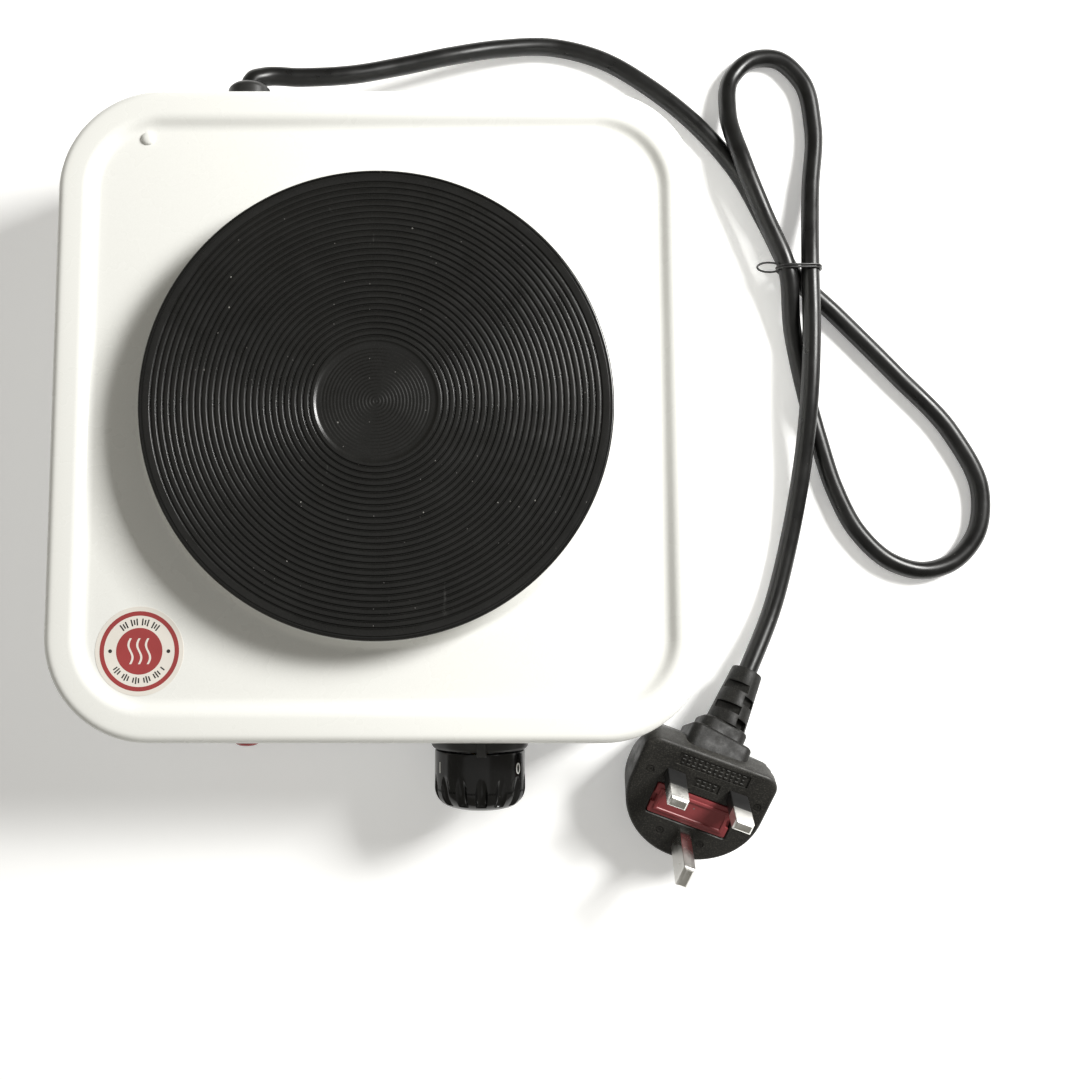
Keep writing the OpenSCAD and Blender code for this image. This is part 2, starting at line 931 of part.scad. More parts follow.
module plug_body() {
    color("black")
        difference() {
            union() {
                difference() {
                    in_plug()
                        translate([-1, 0, -plug_t])
                            intersection() {
                                linear_extrude(plug_t)
                                    plug_outline();
                                translate([0, plug_middle, 0])
                                    cylinder(r1 = plug_w / 2 - 3, r2 = plug_w / 2 + 6, h = plug_t);
                            }
                    translate(plug_at)
                        rotate([0, 0, plug_turn])
                            translate([-30, 24.5, -40])
                                cube([60, 30, 70]);
                }
                in_boot() {
                    collar_bar(-9, 2, 22, 17, 3);
                    collar_bar(-9, 6.5, 16.6, 14.5, 4);
                }
            }
            translate([50, -200, -40])
                cube([120, 150, 40.3]);
            in_plug() {
                carrier_box(0.3);
                translate([-12.8, 15.5, -0.4])
                    cube([25.6, 5, 2]);
                translate([-4.8, 9.6, -0.4])
                    cube([9.6, 4, 2]);
                for (p = [[-19.6, 10.5], [18.6, 10.5], [-8, -10.3], [6.5, -10.3]])
                    translate([p[0], p[1], -0.3])
                        cylinder(r = 1.5, h = 2);
                line_pins();
                earth_shape();
            }
        }
}

module plug_boot() {
    color("black")
        in_boot()
            difference() {
                translate([0, 6.5, 0])
                    rotate([-90, 0, 0])
                        cylinder(r1 = 7.1, r2 = 5.4, h = 21.5);
                for (y = [0, 8.4]) {
                    translate([0, y + 12.3, 0])
                        rotate([0, 58, 0])
                            translate([-7.4, 0, 0])
                                cube([6.4, 3, 9], center = true);
                    translate([0, y + 8.2, 0])
                        rotate([0, -58, 0])
                            translate([8, 0, 0])
                                cube([6.4, 3, 5], center = true);
                }
            }
}

module fuse_carrier() {
    color("red")
        in_plug()
            difference() {
                union() {
                    carrier_box(0);
                    translate([-13.4, -3.2, 0])
                        cube([24.8, 8, 0.5]);
                }
                translate([-14.7, 0.8, -5])
                    rotate([0, 90, 0])
                        cylinder(r = 3.15, h = 27.4);
                translate([-14.7, -2.35, -9])
                    cube([27.4, 6.3, 4]);
                for (x = [-16, 11.6])
                    translate([x, -0.7, -1.5])
                        cube([2.4, 3, 3]);
            }
}

module cartridge_fuse() {
    color("ivory")
        in_plug()
            translate([-13.7, 0.8, -5])
                rotate([0, 90, 0])
                    cylinder(r = 3.1, h = 25.4);
}

module plug_pins() {
    color("silver")
        in_plug() {
            line_pins();
            for (x = [-11.1, 11.1])
                translate([x - 3.175, 9.1, 9.5])
                    cube([6.35, 4, 8.2]);
        }
}

module pin_sleeves() {
    color("black")
        in_plug()
            difference() {
                for (x = [-11.1, 11.1])
                    translate([x - 3.175, 9.1, 0])
                        cube([6.35, 4, 9.5]);
                line_pins();
            }
}

module earth_pin() {
    color("silver")
        in_plug()
            earth_shape();
}

housing();
base_plate();
corner_brackets();
feet();
foot_screws();
heating_plate();
element_coils();
element_cement();
plate_cover();
terminal_pins();
terminal_beads();
plate_stud();
plate_strap();
stud_washer();
stud_nut();
thermostat_frame();
thermostat_bush();
bush_nut();
ceramic_stack();
spring_blades();
contact_buttons();
stack_rivet();
striker_pin();
spindle();
knob();
knob_bezel();
lamp_lens();
lamp_body();
lamp_clip();
terminal_block();
block_screws();
thermal_fuse();
wire_live();
wire_neutral();
wire_earth();
lamp_wires();
earth_screw();
hot_label();
cord_gland();
gland_nut();
lead_tail();
power_cord();
cord_tie();
plug_boot();
plug_body();
fuse_carrier();
cartridge_fuse();
plug_pins();
pin_sleeves();
earth_pin();
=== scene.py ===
"""Looks of the electric hot plate: enamelled body, cast plate, dial, lamp, lead and plug.

Everything is in metres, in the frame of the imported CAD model.
"""

import math

import bmesh
import bpy
from mathutils import Matrix, Vector


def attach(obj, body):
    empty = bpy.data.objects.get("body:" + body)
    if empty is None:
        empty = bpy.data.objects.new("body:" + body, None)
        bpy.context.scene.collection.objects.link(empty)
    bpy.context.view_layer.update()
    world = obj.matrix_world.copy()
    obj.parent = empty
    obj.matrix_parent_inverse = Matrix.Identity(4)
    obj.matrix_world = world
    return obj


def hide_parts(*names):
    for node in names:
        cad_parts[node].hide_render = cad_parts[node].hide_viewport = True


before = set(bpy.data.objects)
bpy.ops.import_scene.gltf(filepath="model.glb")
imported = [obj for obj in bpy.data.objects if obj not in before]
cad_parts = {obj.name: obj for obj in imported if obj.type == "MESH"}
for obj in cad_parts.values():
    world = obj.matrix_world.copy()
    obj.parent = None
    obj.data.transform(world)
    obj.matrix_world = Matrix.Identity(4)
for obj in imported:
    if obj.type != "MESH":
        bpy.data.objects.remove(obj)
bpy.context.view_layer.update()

# ---------- sizes shared with the CAD, in metres ----------

BODY_W, BODY_D, BODY_Y = 0.212, 0.215, 0.0065
CORNER_R, EDGE_R = 0.034, 0.003
RIM_Z, PANEL_Z, BASE_Z = 0.055, 0.0525, 0.008
RIM_W, STEP_W, SHEET = 0.0096, 0.0032, 0.0008
FRONT_Y, BACK_Y = BODY_Y - BODY_D / 2, BODY_Y + BODY_D / 2
PLATE_X, PLATE_Y, PLATE_Z, PLATE_R = 0.0005, 0.0065, 0.0655, 0.075
COLLAR_Z, COLLAR_R, COLLAR_TOP_R, COLLAR_IN_R = 0.0585, 0.0783, 0.074, 0.066
HUB_Z, HUB_R, STUD_R, STUD_DEPTH = 0.0505, 0.064, 0.003, 0.004
COIL_RADII, CHANNEL_HALF, CHANNEL_DEPTH = (0.048, 0.028), 0.005, 0.0054
GROOVE_PITCH, GROOVE_DEPTH = 0.002, 0.0005
CENTRE_R, CENTRE_DROP, FINE_PITCH = 0.0195, 0.0006, 0.0011
KNOB_X, KNOB_Z, KNOB_R, KNOB_OUT, BEZEL_R = 0.034, 0.027, 0.01525, 0.025, 0.0167
BEZEL_BORE_R = 0.0052
FLUTES = 14
LAMP_X, LAMP_R = -0.045, 0.0047
GLAND_X, GLAND_Z, GLAND_OUT = -0.047, 0.031, 0.012
LEAD_R = 0.0033
PLUG_AT, PLUG_TURN, PLUG_LEAN = (0.107, -0.1285, 0.022), -20, 23
BOOT_AT, BOOT_TURN, BOOT_RISE = (0.117, -0.1055, 0.0175), -28, -14
LABEL_AT, LABEL_R = (-0.0754, -0.072), 0.0142
NUB_AT, NUB_R = (-0.0767, 0.0977), 0.0023
PLUG_W, PLUG_T, PLUG_TOP, PLUG_SHOULDER, PLUG_MIDDLE = 0.047, 0.024, 0.0225, 0.005, 0.0048
PIN_X, PIN_W, PIN_T, PIN_OUT, SLEEVE_OUT = 0.0111, 0.00635, 0.004, 0.0177, 0.0095
EARTH_W, EARTH_T, EARTH_OUT = 0.004, 0.008, 0.022
CARRIER_AT, CARRIER_W, CARRIER_D, CARRIER_DEPTH = (-0.001, 0.0008), 0.028, 0.0116, 0.0084
FUSE_R, FUSE_HALF, FUSE_DEPTH = 0.00315, 0.0137, 0.005
# blank panels in the plug's face: y, width, height, corner radius, columns and rows of dashes
PLUG_PANELS = ((0.018, 0.0256, 0.005, 0.0006, 12, 3), (0.0116, 0.0096, 0.004, 0.0005, 4, 2))
MARKS = ((-0.0196, 0.0105), (0.0186, 0.0105), (-0.008, -0.0103), (0.0065, -0.0103))

# the lead's centre line from the gland to the plug's boot, in metres
ROUTE = [
    (-0.047, 0.126, 0.031), (-0.0461, 0.129, 0.0303), (-0.0426, 0.1313, 0.0282),
    (-0.030, 0.133, 0.0245), (-0.012, 0.136, 0.0205), (0.006, 0.1415, 0.016),
    (0.0245, 0.147, 0.013), (0.0435, 0.1525, 0.008), (0.063, 0.155, 0.0042),
    (0.082, 0.1505, 0.0034), (0.101, 0.139, 0.0034), (0.118, 0.1245, 0.0034),
    (0.1335, 0.1055, 0.0034), (0.144, 0.085, 0.0035), (0.153, 0.066, 0.0042),
    (0.168, 0.051, 0.0036), (0.190, 0.028, 0.0034), (0.210, 0.0055, 0.0034),
    (0.2195, -0.016, 0.0034), (0.217, -0.032, 0.0034), (0.207, -0.0425, 0.0034),
    (0.197, -0.045, 0.0034), (0.186, -0.042, 0.0034), (0.174, -0.031, 0.0034),
    (0.166, -0.015, 0.0034), (0.161, 0.002, 0.0034), (0.156, 0.023, 0.0035),
    (0.1516, 0.045, 0.0053), (0.1486, 0.066, 0.0109), (0.141, 0.086, 0.0109),
    (0.1335, 0.107, 0.0108), (0.1295, 0.128, 0.0064), (0.132, 0.143, 0.0035),
    (0.1395, 0.150, 0.0034), (0.149, 0.1505, 0.0034), (0.1585, 0.142, 0.0034),
    (0.1625, 0.124, 0.0034), (0.160, 0.098, 0.0057), (0.1572, 0.066, 0.0109),
    (0.1568, 0.044, 0.0113), (0.1555, 0.019, 0.0106), (0.153, -0.008, 0.0068),
    (0.148, -0.036, 0.0039), (0.1415, -0.058, 0.0048), (0.1298, -0.0815, 0.0107),
]
LEAD_LEAVES, LEAD_ARRIVES = (0, 1, 0), (-0.456, -0.857, 0.242)

IN_PLUG = (Matrix.Translation(PLUG_AT) @ Matrix.Rotation(math.radians(PLUG_TURN), 4, "Z")
           @ Matrix.Rotation(math.radians(PLUG_LEAN), 4, "X"))
IN_BOOT = (Matrix.Translation(BOOT_AT) @ Matrix.Rotation(math.radians(BOOT_TURN), 4, "Z")
           @ Matrix.Rotation(math.radians(BOOT_RISE), 4, "X"))
OUT_OF_FRONT = Matrix.Rotation(math.radians(90), 4, "X")
OUT_OF_BACK = Matrix.Rotation(math.radians(-90), 4, "X")
CORNERS = ((1, 1), (-1, 1), (-1, -1), (1, -1))


# ---------- camera, floor and light ----------

CAMERA_AT, CAMERA_TURN = (0.0214, -0.0565, 0.4010), (5.392, 0.136, -0.029)
CAMERA_LENS, CAMERA_SHIFT = 36.1, (0.0926, -0.037)
WINDOW_AT, WINDOW_TARGET, WINDOW_SIZE, WINDOW_POWER = (0.58, 0.28, 0.52), (0.0, 0.0, 0.03), 0.25, 11.5
FILL_AT, FILL_TARGET, FILL_SIZE, FILL_POWER = (-0.2, -0.3, 1.3), (0, 0, 0), 1.4, 1.5
SKY, SKY_STRENGTH = (1.0, 0.96, 0.85, 1), 0.215
FLOOR_HALF = 2.5


def make_camera():
    data = bpy.data.cameras.new("camera")
    camera = bpy.data.objects.new("camera", data)
    bpy.context.scene.collection.objects.link(camera)
    camera.location = CAMERA_AT
    camera.rotation_euler = [math.radians(angle) for angle in CAMERA_TURN]
    data.sensor_width = 36
    data.lens = CAMERA_LENS
    data.shift_x, data.shift_y = CAMERA_SHIFT
    data.clip_start = 0.01
    bpy.context.scene.camera = camera


def area_light(name, place, target, size, power, colour):
    data = bpy.data.lights.new(name, "AREA")
    data.shape = "SQUARE"
    data.size = size
    data.energy = power
    data.color = colour
    light = bpy.data.objects.new(name, data)
    bpy.context.scene.collection.objects.link(light)
    light.location = place
    light.rotation_euler = (Vector(target) - Vector(place)).to_track_quat("-Z", "Y").to_euler()


def make_studio():
    scene = bpy.context.scene
    scene.view_settings.view_transform = "Standard"
    world = bpy.data.worlds.new("studio")
    scene.world = world
    world.use_nodes = True
    sky = world.node_tree.nodes["Background"]
    sky.inputs["Color"].default_value = SKY
    sky.inputs["Strength"].default_value = SKY_STRENGTH
    area_light("window", WINDOW_AT, WINDOW_TARGET, WINDOW_SIZE, WINDOW_POWER, (1, 0.995, 0.975))
    area_light("top_fill", FILL_AT, FILL_TARGET, FILL_SIZE, FILL_POWER, (1, 1, 1))
    bm = bmesh.new()
    bmesh.ops.create_grid(bm, x_segments=1, y_segments=1, size=FLOOR_HALF)
    mesh = bpy.data.meshes.new("floor")
    bm.to_mesh(mesh)
    bm.free()
    floor = bpy.data.objects.new("floor", mesh)
    scene.collection.objects.link(floor)
    mesh.materials.append(plain_floor())


# ---------- node helpers ----------

# the Mix node's sockets for colours: factor, first colour and second colour, then the result
MIX_INPUTS, MIX_RESULT = (0, 6, 7), 2


class Look:
    """A material under construction, with short calls for the nodes that patterns need."""

    def __init__(self, name):
        self.material = bpy.data.materials.new(name)
        self.material.use_nodes = True
        self.tree = self.material.node_tree
        self.shader = self.tree.nodes["Principled BSDF"]
        self.place = self.add("ShaderNodeTexCoord").outputs["Object"]

    def add(self, kind, **settings):
        node = self.tree.nodes.new(kind)
        for key, value in settings.items():
            setattr(node, key, value)
        return node

    def link(self, source, target):
        self.tree.links.new(source, target)

    def feed(self, socket, value):
        """Gives a socket a number, a colour or another node's output."""
        if isinstance(value, (int, float)):
            socket.default_value = value
        elif isinstance(value, tuple):
            socket.default_value = (*value, 1)
        else:
            self.link(value, socket)

    def set(self, **values):
        for key, value in values.items():
            self.shader.inputs[key.replace("_", " ")].default_value = value

    def stretched(self, factors):
        node = self.add("ShaderNodeMapping")
        node.inputs["Scale"].default_value = factors
        self.link(self.place, node.inputs["Vector"])
        return node.outputs["Vector"]

    def noise(self, scale, detail=3, rough=0.55, vector=None):
        node = self.add("ShaderNodeTexNoise")
        node.inputs["Scale"].default_value = scale
        node.inputs["Detail"].default_value = detail
        node.inputs["Roughness"].default_value = rough
        self.link(vector or self.place, node.inputs["Vector"])
        return node.outputs["Fac"]

    def ramp(self, source, stops):
        node = self.add("ShaderNodeValToRGB")
        ramp = node.color_ramp
        while len(ramp.elements) < len(stops):
            ramp.elements.new(0.5)
        for element, (place, colour) in zip(ramp.elements, stops):
            element.position = place
            element.color = (*colour, 1)
        self.link(source, node.inputs["Fac"])
        return node.outputs["Color"]

    def span(self, source, low, high, start=0.0, end=1.0):
        node = self.add("ShaderNodeMapRange")
        for key, value in (("From Min", start), ("From Max", end), ("To Min", low), ("To Max", high)):
            node.inputs[key].default_value = value
        self.link(source, node.inputs["Value"])
        return node.outputs["Result"]

    def maths(self, operation, a, b):
        node = self.add("ShaderNodeMath", operation=operation)
        self.feed(node.inputs[0], a)
        self.feed(node.inputs[1], b)
        return node.outputs[0]

    def blend(self, factor, a, b):
        node = self.add("ShaderNodeMix", data_type="RGBA")
        for index, value in zip(MIX_INPUTS, (factor, a, b)):
            self.feed(node.inputs[index], value)
        return node.outputs[MIX_RESULT]

    def specks(self, scale, size, share):
        """1 inside small round spots, one at most in each cell, in this share of the cells."""
        node = self.add("ShaderNodeTexVoronoi")
        node.inputs["Scale"].default_value = scale
        self.link(self.place, node.inputs["Vector"])
        near = self.maths("LESS_THAN", node.outputs["Distance"], size)
        part = self.add("ShaderNodeSeparateColor")
        self.link(node.outputs["Color"], part.inputs["Color"])
        picked = self.maths("LESS_THAN", part.outputs["Red"], share)
        return self.maths("MULTIPLY", near, picked)

    def bump(self, layers):
        """Stacks bump layers, each a height, a strength and a depth in metres."""
        below = None
        for height, strength, depth in layers:
            node = self.add("ShaderNodeBump")
            node.inputs["Strength"].default_value = strength
            node.inputs["Distance"].default_value = depth
            self.link(height, node.inputs["Height"])
            if below:
                self.link(below, node.inputs["Normal"])
            below = node.outputs["Normal"]
        self.link(below, self.shader.inputs["Normal"])

    def colour(self, source):
        self.link(source, self.shader.inputs["Base Color"])

    def roughness(self, source):
        self.link(source, self.shader.inputs["Roughness"])


def shade(colour, factor):
    return tuple(min(1.0, c * factor) for c in colour)


def moulded(name, colour, rough, grain, depth, dust=0.0, spread=0.25):
    """Plastic, rubber or ceramic: slightly uneven colour, uneven gloss and a fine surface grain."""
    look = Look(name)
    cloud = look.noise(55, 4)
    fine = look.noise(grain, 3)
    tone = look.ramp(cloud, [(0.3, shade(colour, 1 - spread)), (0.72, shade(colour, 1 + spread))])
    if dust:
        spots = look.specks(420, 0.16, dust)
        tone = look.blend(spots, tone, (0.17, 0.165, 0.155))
    look.colour(tone)
    look.roughness(look.span(look.noise(160, 4), rough * 0.8, min(1, rough * 1.25), 0.3, 0.7))
    look.bump([(fine, 0.35, depth)])
    return look.material


def metal(name, colour, rough, streaks=(1, 1, 1), drift=0.15, relief=0.25):
    """Plated or plain metal: the tone drifts, with fine streaks along one direction."""
    look = Look(name)
    streak = look.noise(700, 3, vector=look.stretched(streaks))
    cloud = look.noise(90, 4)
    tone = look.ramp(cloud, [(0.3, shade(colour, 1 - drift)), (0.7, shade(colour, 1 + drift / 2))])
    look.colour(tone)
    look.set(Metallic=1.0)
    look.roughness(look.span(streak, rough * 0.7, rough * 1.5, 0.3, 0.7))
    look.bump([(streak, relief, 0.00002)])
    return look.material


def plain_floor():
    look = Look("floor")
    look.colour(look.ramp(look.noise(6, 2), [(0.3, (0.93, 0.93, 0.925)), (0.7, (0.95, 0.95, 0.945))]))
    look.set(Roughness=0.9, Emission_Color=(1, 1, 1, 1), Emission_Strength=0.28)
    return look.material


def white_enamel():
    """Gloss white powder coat with a faint orange peel and a few dark specks."""
    look = Look("white_enamel")
    tone = look.ramp(look.noise(14, 2), [(0.2, (0.805, 0.807, 0.775)), (0.8, (0.825, 0.827, 0.797))])
    grain = look.ramp(look.noise(2600, 2), [(0.3, (0.75, 0.75, 0.72)), (0.7, (0.88, 0.88, 0.85))])
    tone = look.blend(0.22, tone, grain)
    specks = look.specks(34, 0.011, 0.07)
    look.colour(look.blend(specks, tone, (0.10, 0.09, 0.08)))
    look.roughness(look.span(look.noise(60, 3), 0.24, 0.32, 0.3, 0.7))
    look.bump([(look.noise(420, 2), 0.08, 0.00003), (look.noise(2400, 2), 0.08, 0.00001)])
    return look.material


def cast_iron():
    """Black stoved coating on turned cast iron, with dust, small chips and faint rub marks."""
    look = Look("cast_plate")
    cloud = look.noise(35, 5)
    grit = look.noise(3200, 3)
    tone = look.ramp(cloud, [(0.3, (0.0035, 0.0035, 0.0033)), (0.7, (0.0065, 0.0065, 0.006))])
    tone = look.blend(look.span(grit, 0, 0.8, 0.5, 0.78), tone, (0.016, 0.0155, 0.0145))
    tone = look.blend(look.specks(260, 0.07, 0.10), tone, (0.22, 0.215, 0.20))
    tone = look.blend(look.specks(620, 0.10, 0.06), tone, (0.13, 0.125, 0.12))
    scratch = look.noise(190, 4, 0.7, look.stretched((1.0, 0.22, 1.0)))
    tone = look.blend(look.span(scratch, 0, 0.5, 0.70, 0.76), tone, (0.06, 0.06, 0.057))
    look.colour(tone)
    look.roughness(look.span(look.noise(120, 4), 0.24, 0.36, 0.3, 0.7))
    look.set(Specular_IOR_Level=0.45)
    look.bump([(grit, 0.4, 0.00004), (look.noise(900, 3), 0.25, 0.00004)])
    return look.material


def zinc_sheet():
    """Galvanised sheet with its flaky spangle."""
    look = Look("zinc_sheet")
    flakes = look.add("ShaderNodeTexVoronoi")
    flakes.inputs["Scale"].default_value = 130
    look.link(look.place, flakes.inputs["Vector"])
    part = look.add("ShaderNodeSeparateColor")
    look.link(flakes.outputs["Color"], part.inputs["Color"])
    look.colour(look.ramp(part.outputs["Red"], [(0, (0.46, 0.47, 0.48)), (1, (0.66, 0.67, 0.68))]))
    look.set(Metallic=1.0)
    look.roughness(look.span(part.outputs["Green"], 0.32, 0.52))
    look.bump([(look.noise(500, 3), 0.2, 0.00004)])
    return look.material


def red_lens():
    """Clear red plastic, a little scuffed, lit from behind only by the room."""
    look = Look("lamp_red")
    look.colour(look.ramp(look.noise(120, 3), [(0.3, (0.42, 0.008, 0.010)), (0.7, (0.55, 0.014, 0.014))]))
    look.set(Transmission_Weight=0.35, IOR=1.49)
    look.roughness(look.span(look.noise(500, 3), 0.10, 0.22, 0.3, 0.7))
    look.bump([(look.noise(1400, 2), 0.15, 0.00001)])
    return look.material


def lead_pvc():
    """Glossy black PVC sheath with smears and a little dust."""
    look = Look("lead_black")
    tone = look.ramp(look.noise(70, 4), [(0.3, (0.004, 0.004, 0.004)), (0.7, (0.008, 0.008, 0.0078))])
    look.colour(look.blend(look.specks(500, 0.10, 0.05), tone, (0.07, 0.07, 0.066)))
    look.set(Specular_IOR_Level=0.32)
    look.roughness(look.span(look.noise(140, 4), 0.26, 0.40, 0.3, 0.7))
    look.bump([(look.noise(260, 3), 0.30, 0.00008), (look.noise(2600, 2), 0.2, 0.00002)])
    return look.material


def gloss_knob():
    """Deep black gloss plastic with a little dust."""
    look = Look("knob_black")
    tone = look.ramp(look.noise(80, 4), [(0.3, (0.004, 0.004, 0.004)), (0.7, (0.007, 0.007, 0.007))])
    look.colour(look.blend(look.specks(650, 0.10, 0.05), tone, (0.08, 0.08, 0.075)))
    look.set(Specular_IOR_Level=0.4)
    look.roughness(look.span(look.noise(210, 5, 0.65), 0.10, 0.24, 0.3, 0.75))
    look.bump([(look.noise(700, 2), 0.10, 0.00002)])
    return look.material


def plug_vinyl(name, painted_shade_factor, gloss):
    """Matt speckled black moulding; the factor darkens every colour in it, and below 1 it paints shade
    into a darker copy of the same vinyl.
    """
    look = Look(name)
    grit = look.noise(2100, 4, 0.7)
    dark = shade((0.012, 0.0115, 0.0105), painted_shade_factor)
    light = shade((0.022, 0.021, 0.019), painted_shade_factor)
    tone = look.ramp(look.noise(90, 4), [(0.3, dark), (0.7, light)])
    speck = shade((0.075, 0.072, 0.062), painted_shade_factor)
    tone = look.blend(look.span(grit, 0, 0.85, 0.50, 0.70), tone, speck)
    look.colour(tone)
    look.set(Specular_IOR_Level=gloss)
    look.roughness(look.span(look.noise(300, 3), 0.42, 0.60, 0.3, 0.7))
    look.bump([(grit, 0.55, 0.00006), (look.noise(600, 2), 0.2, 0.00008)])
    return look.material


MATERIALS = {
    "white_enamel": white_enamel(),
    "cast_plate": cast_iron(),
    "zinc_sheet": zinc_sheet(),
    "lamp_red": red_lens(),
    "lead_black": lead_pvc(),
    "knob_black": gloss_knob(),
    "plug_black": plug_vinyl("plug_black", 1.0, 0.3),
    # the boot and neck are the plug's own vinyl, darkened here as painted shade
    "vinyl_painted_shade": plug_vinyl("vinyl_painted_shade", 0.35, 0.2),
}

# colour, roughness, scale of the grain, its depth in metres, share of dust, spread of the colour
MOULDED = {
    "foot_rubber": ((0.018, 0.018, 0.018), 0.75, 900, 0.00008, 0.08),
    "element_cement": ((0.52, 0.49, 0.43), 0.9, 600, 0.0002),
    "bead_ceramic": ((0.74, 0.71, 0.63), 0.35, 900, 0.00002, 0, 0.06),
    "bezel_black": ((0.022, 0.022, 0.021), 0.42, 1500, 0.00003, 0.03),
    "lamp_white": ((0.70, 0.70, 0.67), 0.4, 900, 0.00002, 0, 0.06),
    "block_ceramic": ((0.72, 0.70, 0.64), 0.45, 700, 0.00005, 0, 0.08),
    "fuse_sleeve": ((0.68, 0.66, 0.60), 0.7, 1200, 0.00008, 0, 0.08),
    "wire_brown": ((0.14, 0.05, 0.02), 0.45, 900, 0.00004),
    "wire_blue": ((0.02, 0.08, 0.32), 0.45, 900, 0.00004),
    "wire_green": ((0.05, 0.25, 0.06), 0.45, 900, 0.00004),
    "wire_white": ((0.62, 0.62, 0.60), 0.45, 900, 0.00004, 0, 0.08),
    "gland_black": ((0.017, 0.017, 0.0165), 0.38, 1300, 0.00004, 0.05),
    "tie_black": ((0.012, 0.012, 0.012), 0.35, 1500, 0.00003, 0.03),
    "carrier_red": ((0.25, 0.043, 0.047), 0.42, 1900, 0.00004, 0.05, 0.16),
    "fuse_ceramic": ((0.76, 0.74, 0.68), 0.3, 900, 0.00002, 0, 0.05),
    "sleeve_black": ((0.014, 0.014, 0.014), 0.40, 1500, 0.00003, 0.05),
    "label_white": ((0.76, 0.72, 0.66), 0.5, 1600, 0.00001, 0, 0.05),
    "label_red": ((0.33, 0.045, 0.045), 0.5, 1600, 0.00001, 0, 0.10),
    "label_ink": ((0.030, 0.028, 0.026), 0.5, 1600, 0.00001),
    "numeral_white": ((0.80, 0.80, 0.77), 0.5, 1600, 0.00001, 0, 0.05),
}

# colour, roughness, how the streaks are stretched, drift of the tone, strength of the streaks
METALS = {
    "zinc_screw": ((0.62, 0.61, 0.57), 0.28),
    "resistance_wire": ((0.36, 0.35, 0.34), 0.45),
    "bush_brass": ((0.63, 0.47, 0.20), 0.3),
    "blade_bronze": ((0.58, 0.37, 0.20), 0.28, (1, 12, 1)),
    "contact_silver": ((0.80, 0.79, 0.76), 0.25),
    "pin_metal": ((0.80, 0.79, 0.76), 0.30, (0.2, 0.2, 0.05), 0.05, 0.02),
}

MATERIALS.update({name: moulded(name, *values) for name, values in MOULDED.items()})
MATERIALS.update({name: metal(name, *values) for name, values in METALS.items()})


# ---------- mesh helpers ----------

def piece(name, bm, material, body="stove", sharp=32):
    """Turns a bmesh into a shown piece that rides a body, smooth except at its sharp edges."""
    bmesh.ops.recalc_face_normals(bm, faces=bm.faces)
    mesh = bpy.data.meshes.new(name)
    bm.to_mesh(mesh)
    bm.free()
    obj = bpy.data.objects.new(name, mesh)
    bpy.context.scene.collection.objects.link(obj)
    mesh.materials.append(MATERIALS[material])
    mesh.shade_smooth()
    mesh.set_sharp_from_angle(angle=math.radians(sharp))
    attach(obj, body)
    return obj


def stand_for(obj, slot, *nodes):
    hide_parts(*nodes)


def apply_modifiers(obj, sharp):
    graph = bpy.context.evaluated_depsgraph_get()
    mesh = bpy.data.meshes.new_from_object(obj.evaluated_get(graph))
    obj.modifiers.clear()
    obj.data = mesh
    mesh.shade_smooth()
    mesh.set_sharp_from_angle(angle=math.radians(sharp))


def carve(obj, bm, sharp=32):
    """Takes the shape in bm out of a piece."""
    bmesh.ops.recalc_face_normals(bm, faces=bm.faces)
    mesh = bpy.data.meshes.new("cutter")
    bm.to_mesh(mesh)
    bm.free()
    cutter = bpy.data.objects.new("cutter", mesh)
    bpy.context.scene.collection.objects.link(cutter)
    cut = obj.modifiers.new("cut", "BOOLEAN")
    cut.operation = "DIFFERENCE"
    cut.object = cutter
    cut.solver = "EXACT"
    apply_modifiers(obj, sharp)
    bpy.data.objects.remove(cutter)


def spun(bm, radius, height, steps, groove=None):
    """A ring of points about local Z, drawn in by groove(angle), or one point on the axis."""
    if radius < 1e-9:
        return [bm.verts.new((0, 0, height))]
    ring = []
    for k in range(steps):
        angle = math.tau * k / steps
        r = radius - groove(angle) if groove else radius
        ring.append(bm.verts.new((r * math.cos(angle), r * math.sin(angle), height)))
    return ring


def bridge(bm, rings):
    """Joins each ring of points to the next; beside a ring of one point the faces make a fan."""
    for low, high in zip(rings, rings[1:]):
        steps = max(len(low), len(high))
        for k in range(steps):
            j = (k + 1) % steps
            corners = (low[k % len(low)], low[j % len(low)], high[j % len(high)], high[k % len(high)])
            bm.faces.new(tuple(dict.fromkeys(corners)))


def set_at(bm, rings, matrix):
    bmesh.ops.transform(bm, matrix=matrix, verts=[point for ring in rings for point in ring])


def lathe(bm, profile, steps, matrix):
    """Turns a profile of (radius, height) about the local Z axis."""
    rings = [spun(bm, radius, height, steps) for radius, height in profile]
    bridge(bm, rings)
    set_at(bm, rings, matrix)


def round_bar(bm, radius, low, high, steps, matrix):
    lathe(bm, [(0, low), (radius, low), (radius, high), (0, high)], steps, matrix)


def arc(centre, radius, start, end, steps):
    return [(centre[0] + radius * math.cos(math.radians(start + (end - start) * i / steps)),
             centre[1] + radius * math.sin(math.radians(start + (end - start) * i / steps)))
            for i in range(steps + 1)]


def soften(points, reach, steps=4):
    """Rounds every inner corner of a profile with a short curve."""
    result = [points[0]]
    for before, corner, after in zip(points, points[1:], points[2:]):
        a, b, c = Vector(before), Vector(corner), Vector(after)
        near = min(reach, (a - b).length * 0.45, (c - b).length * 0.45)
        start, end = b + (a - b).normalized() * near, b + (c - b).normalized() * near
        for i in range(steps + 1):
            t = i / steps
            result.append(tuple(start * (1 - t) ** 2 + b * 2 * t * (1 - t) + end * t * t))
    return result + [points[-1]]


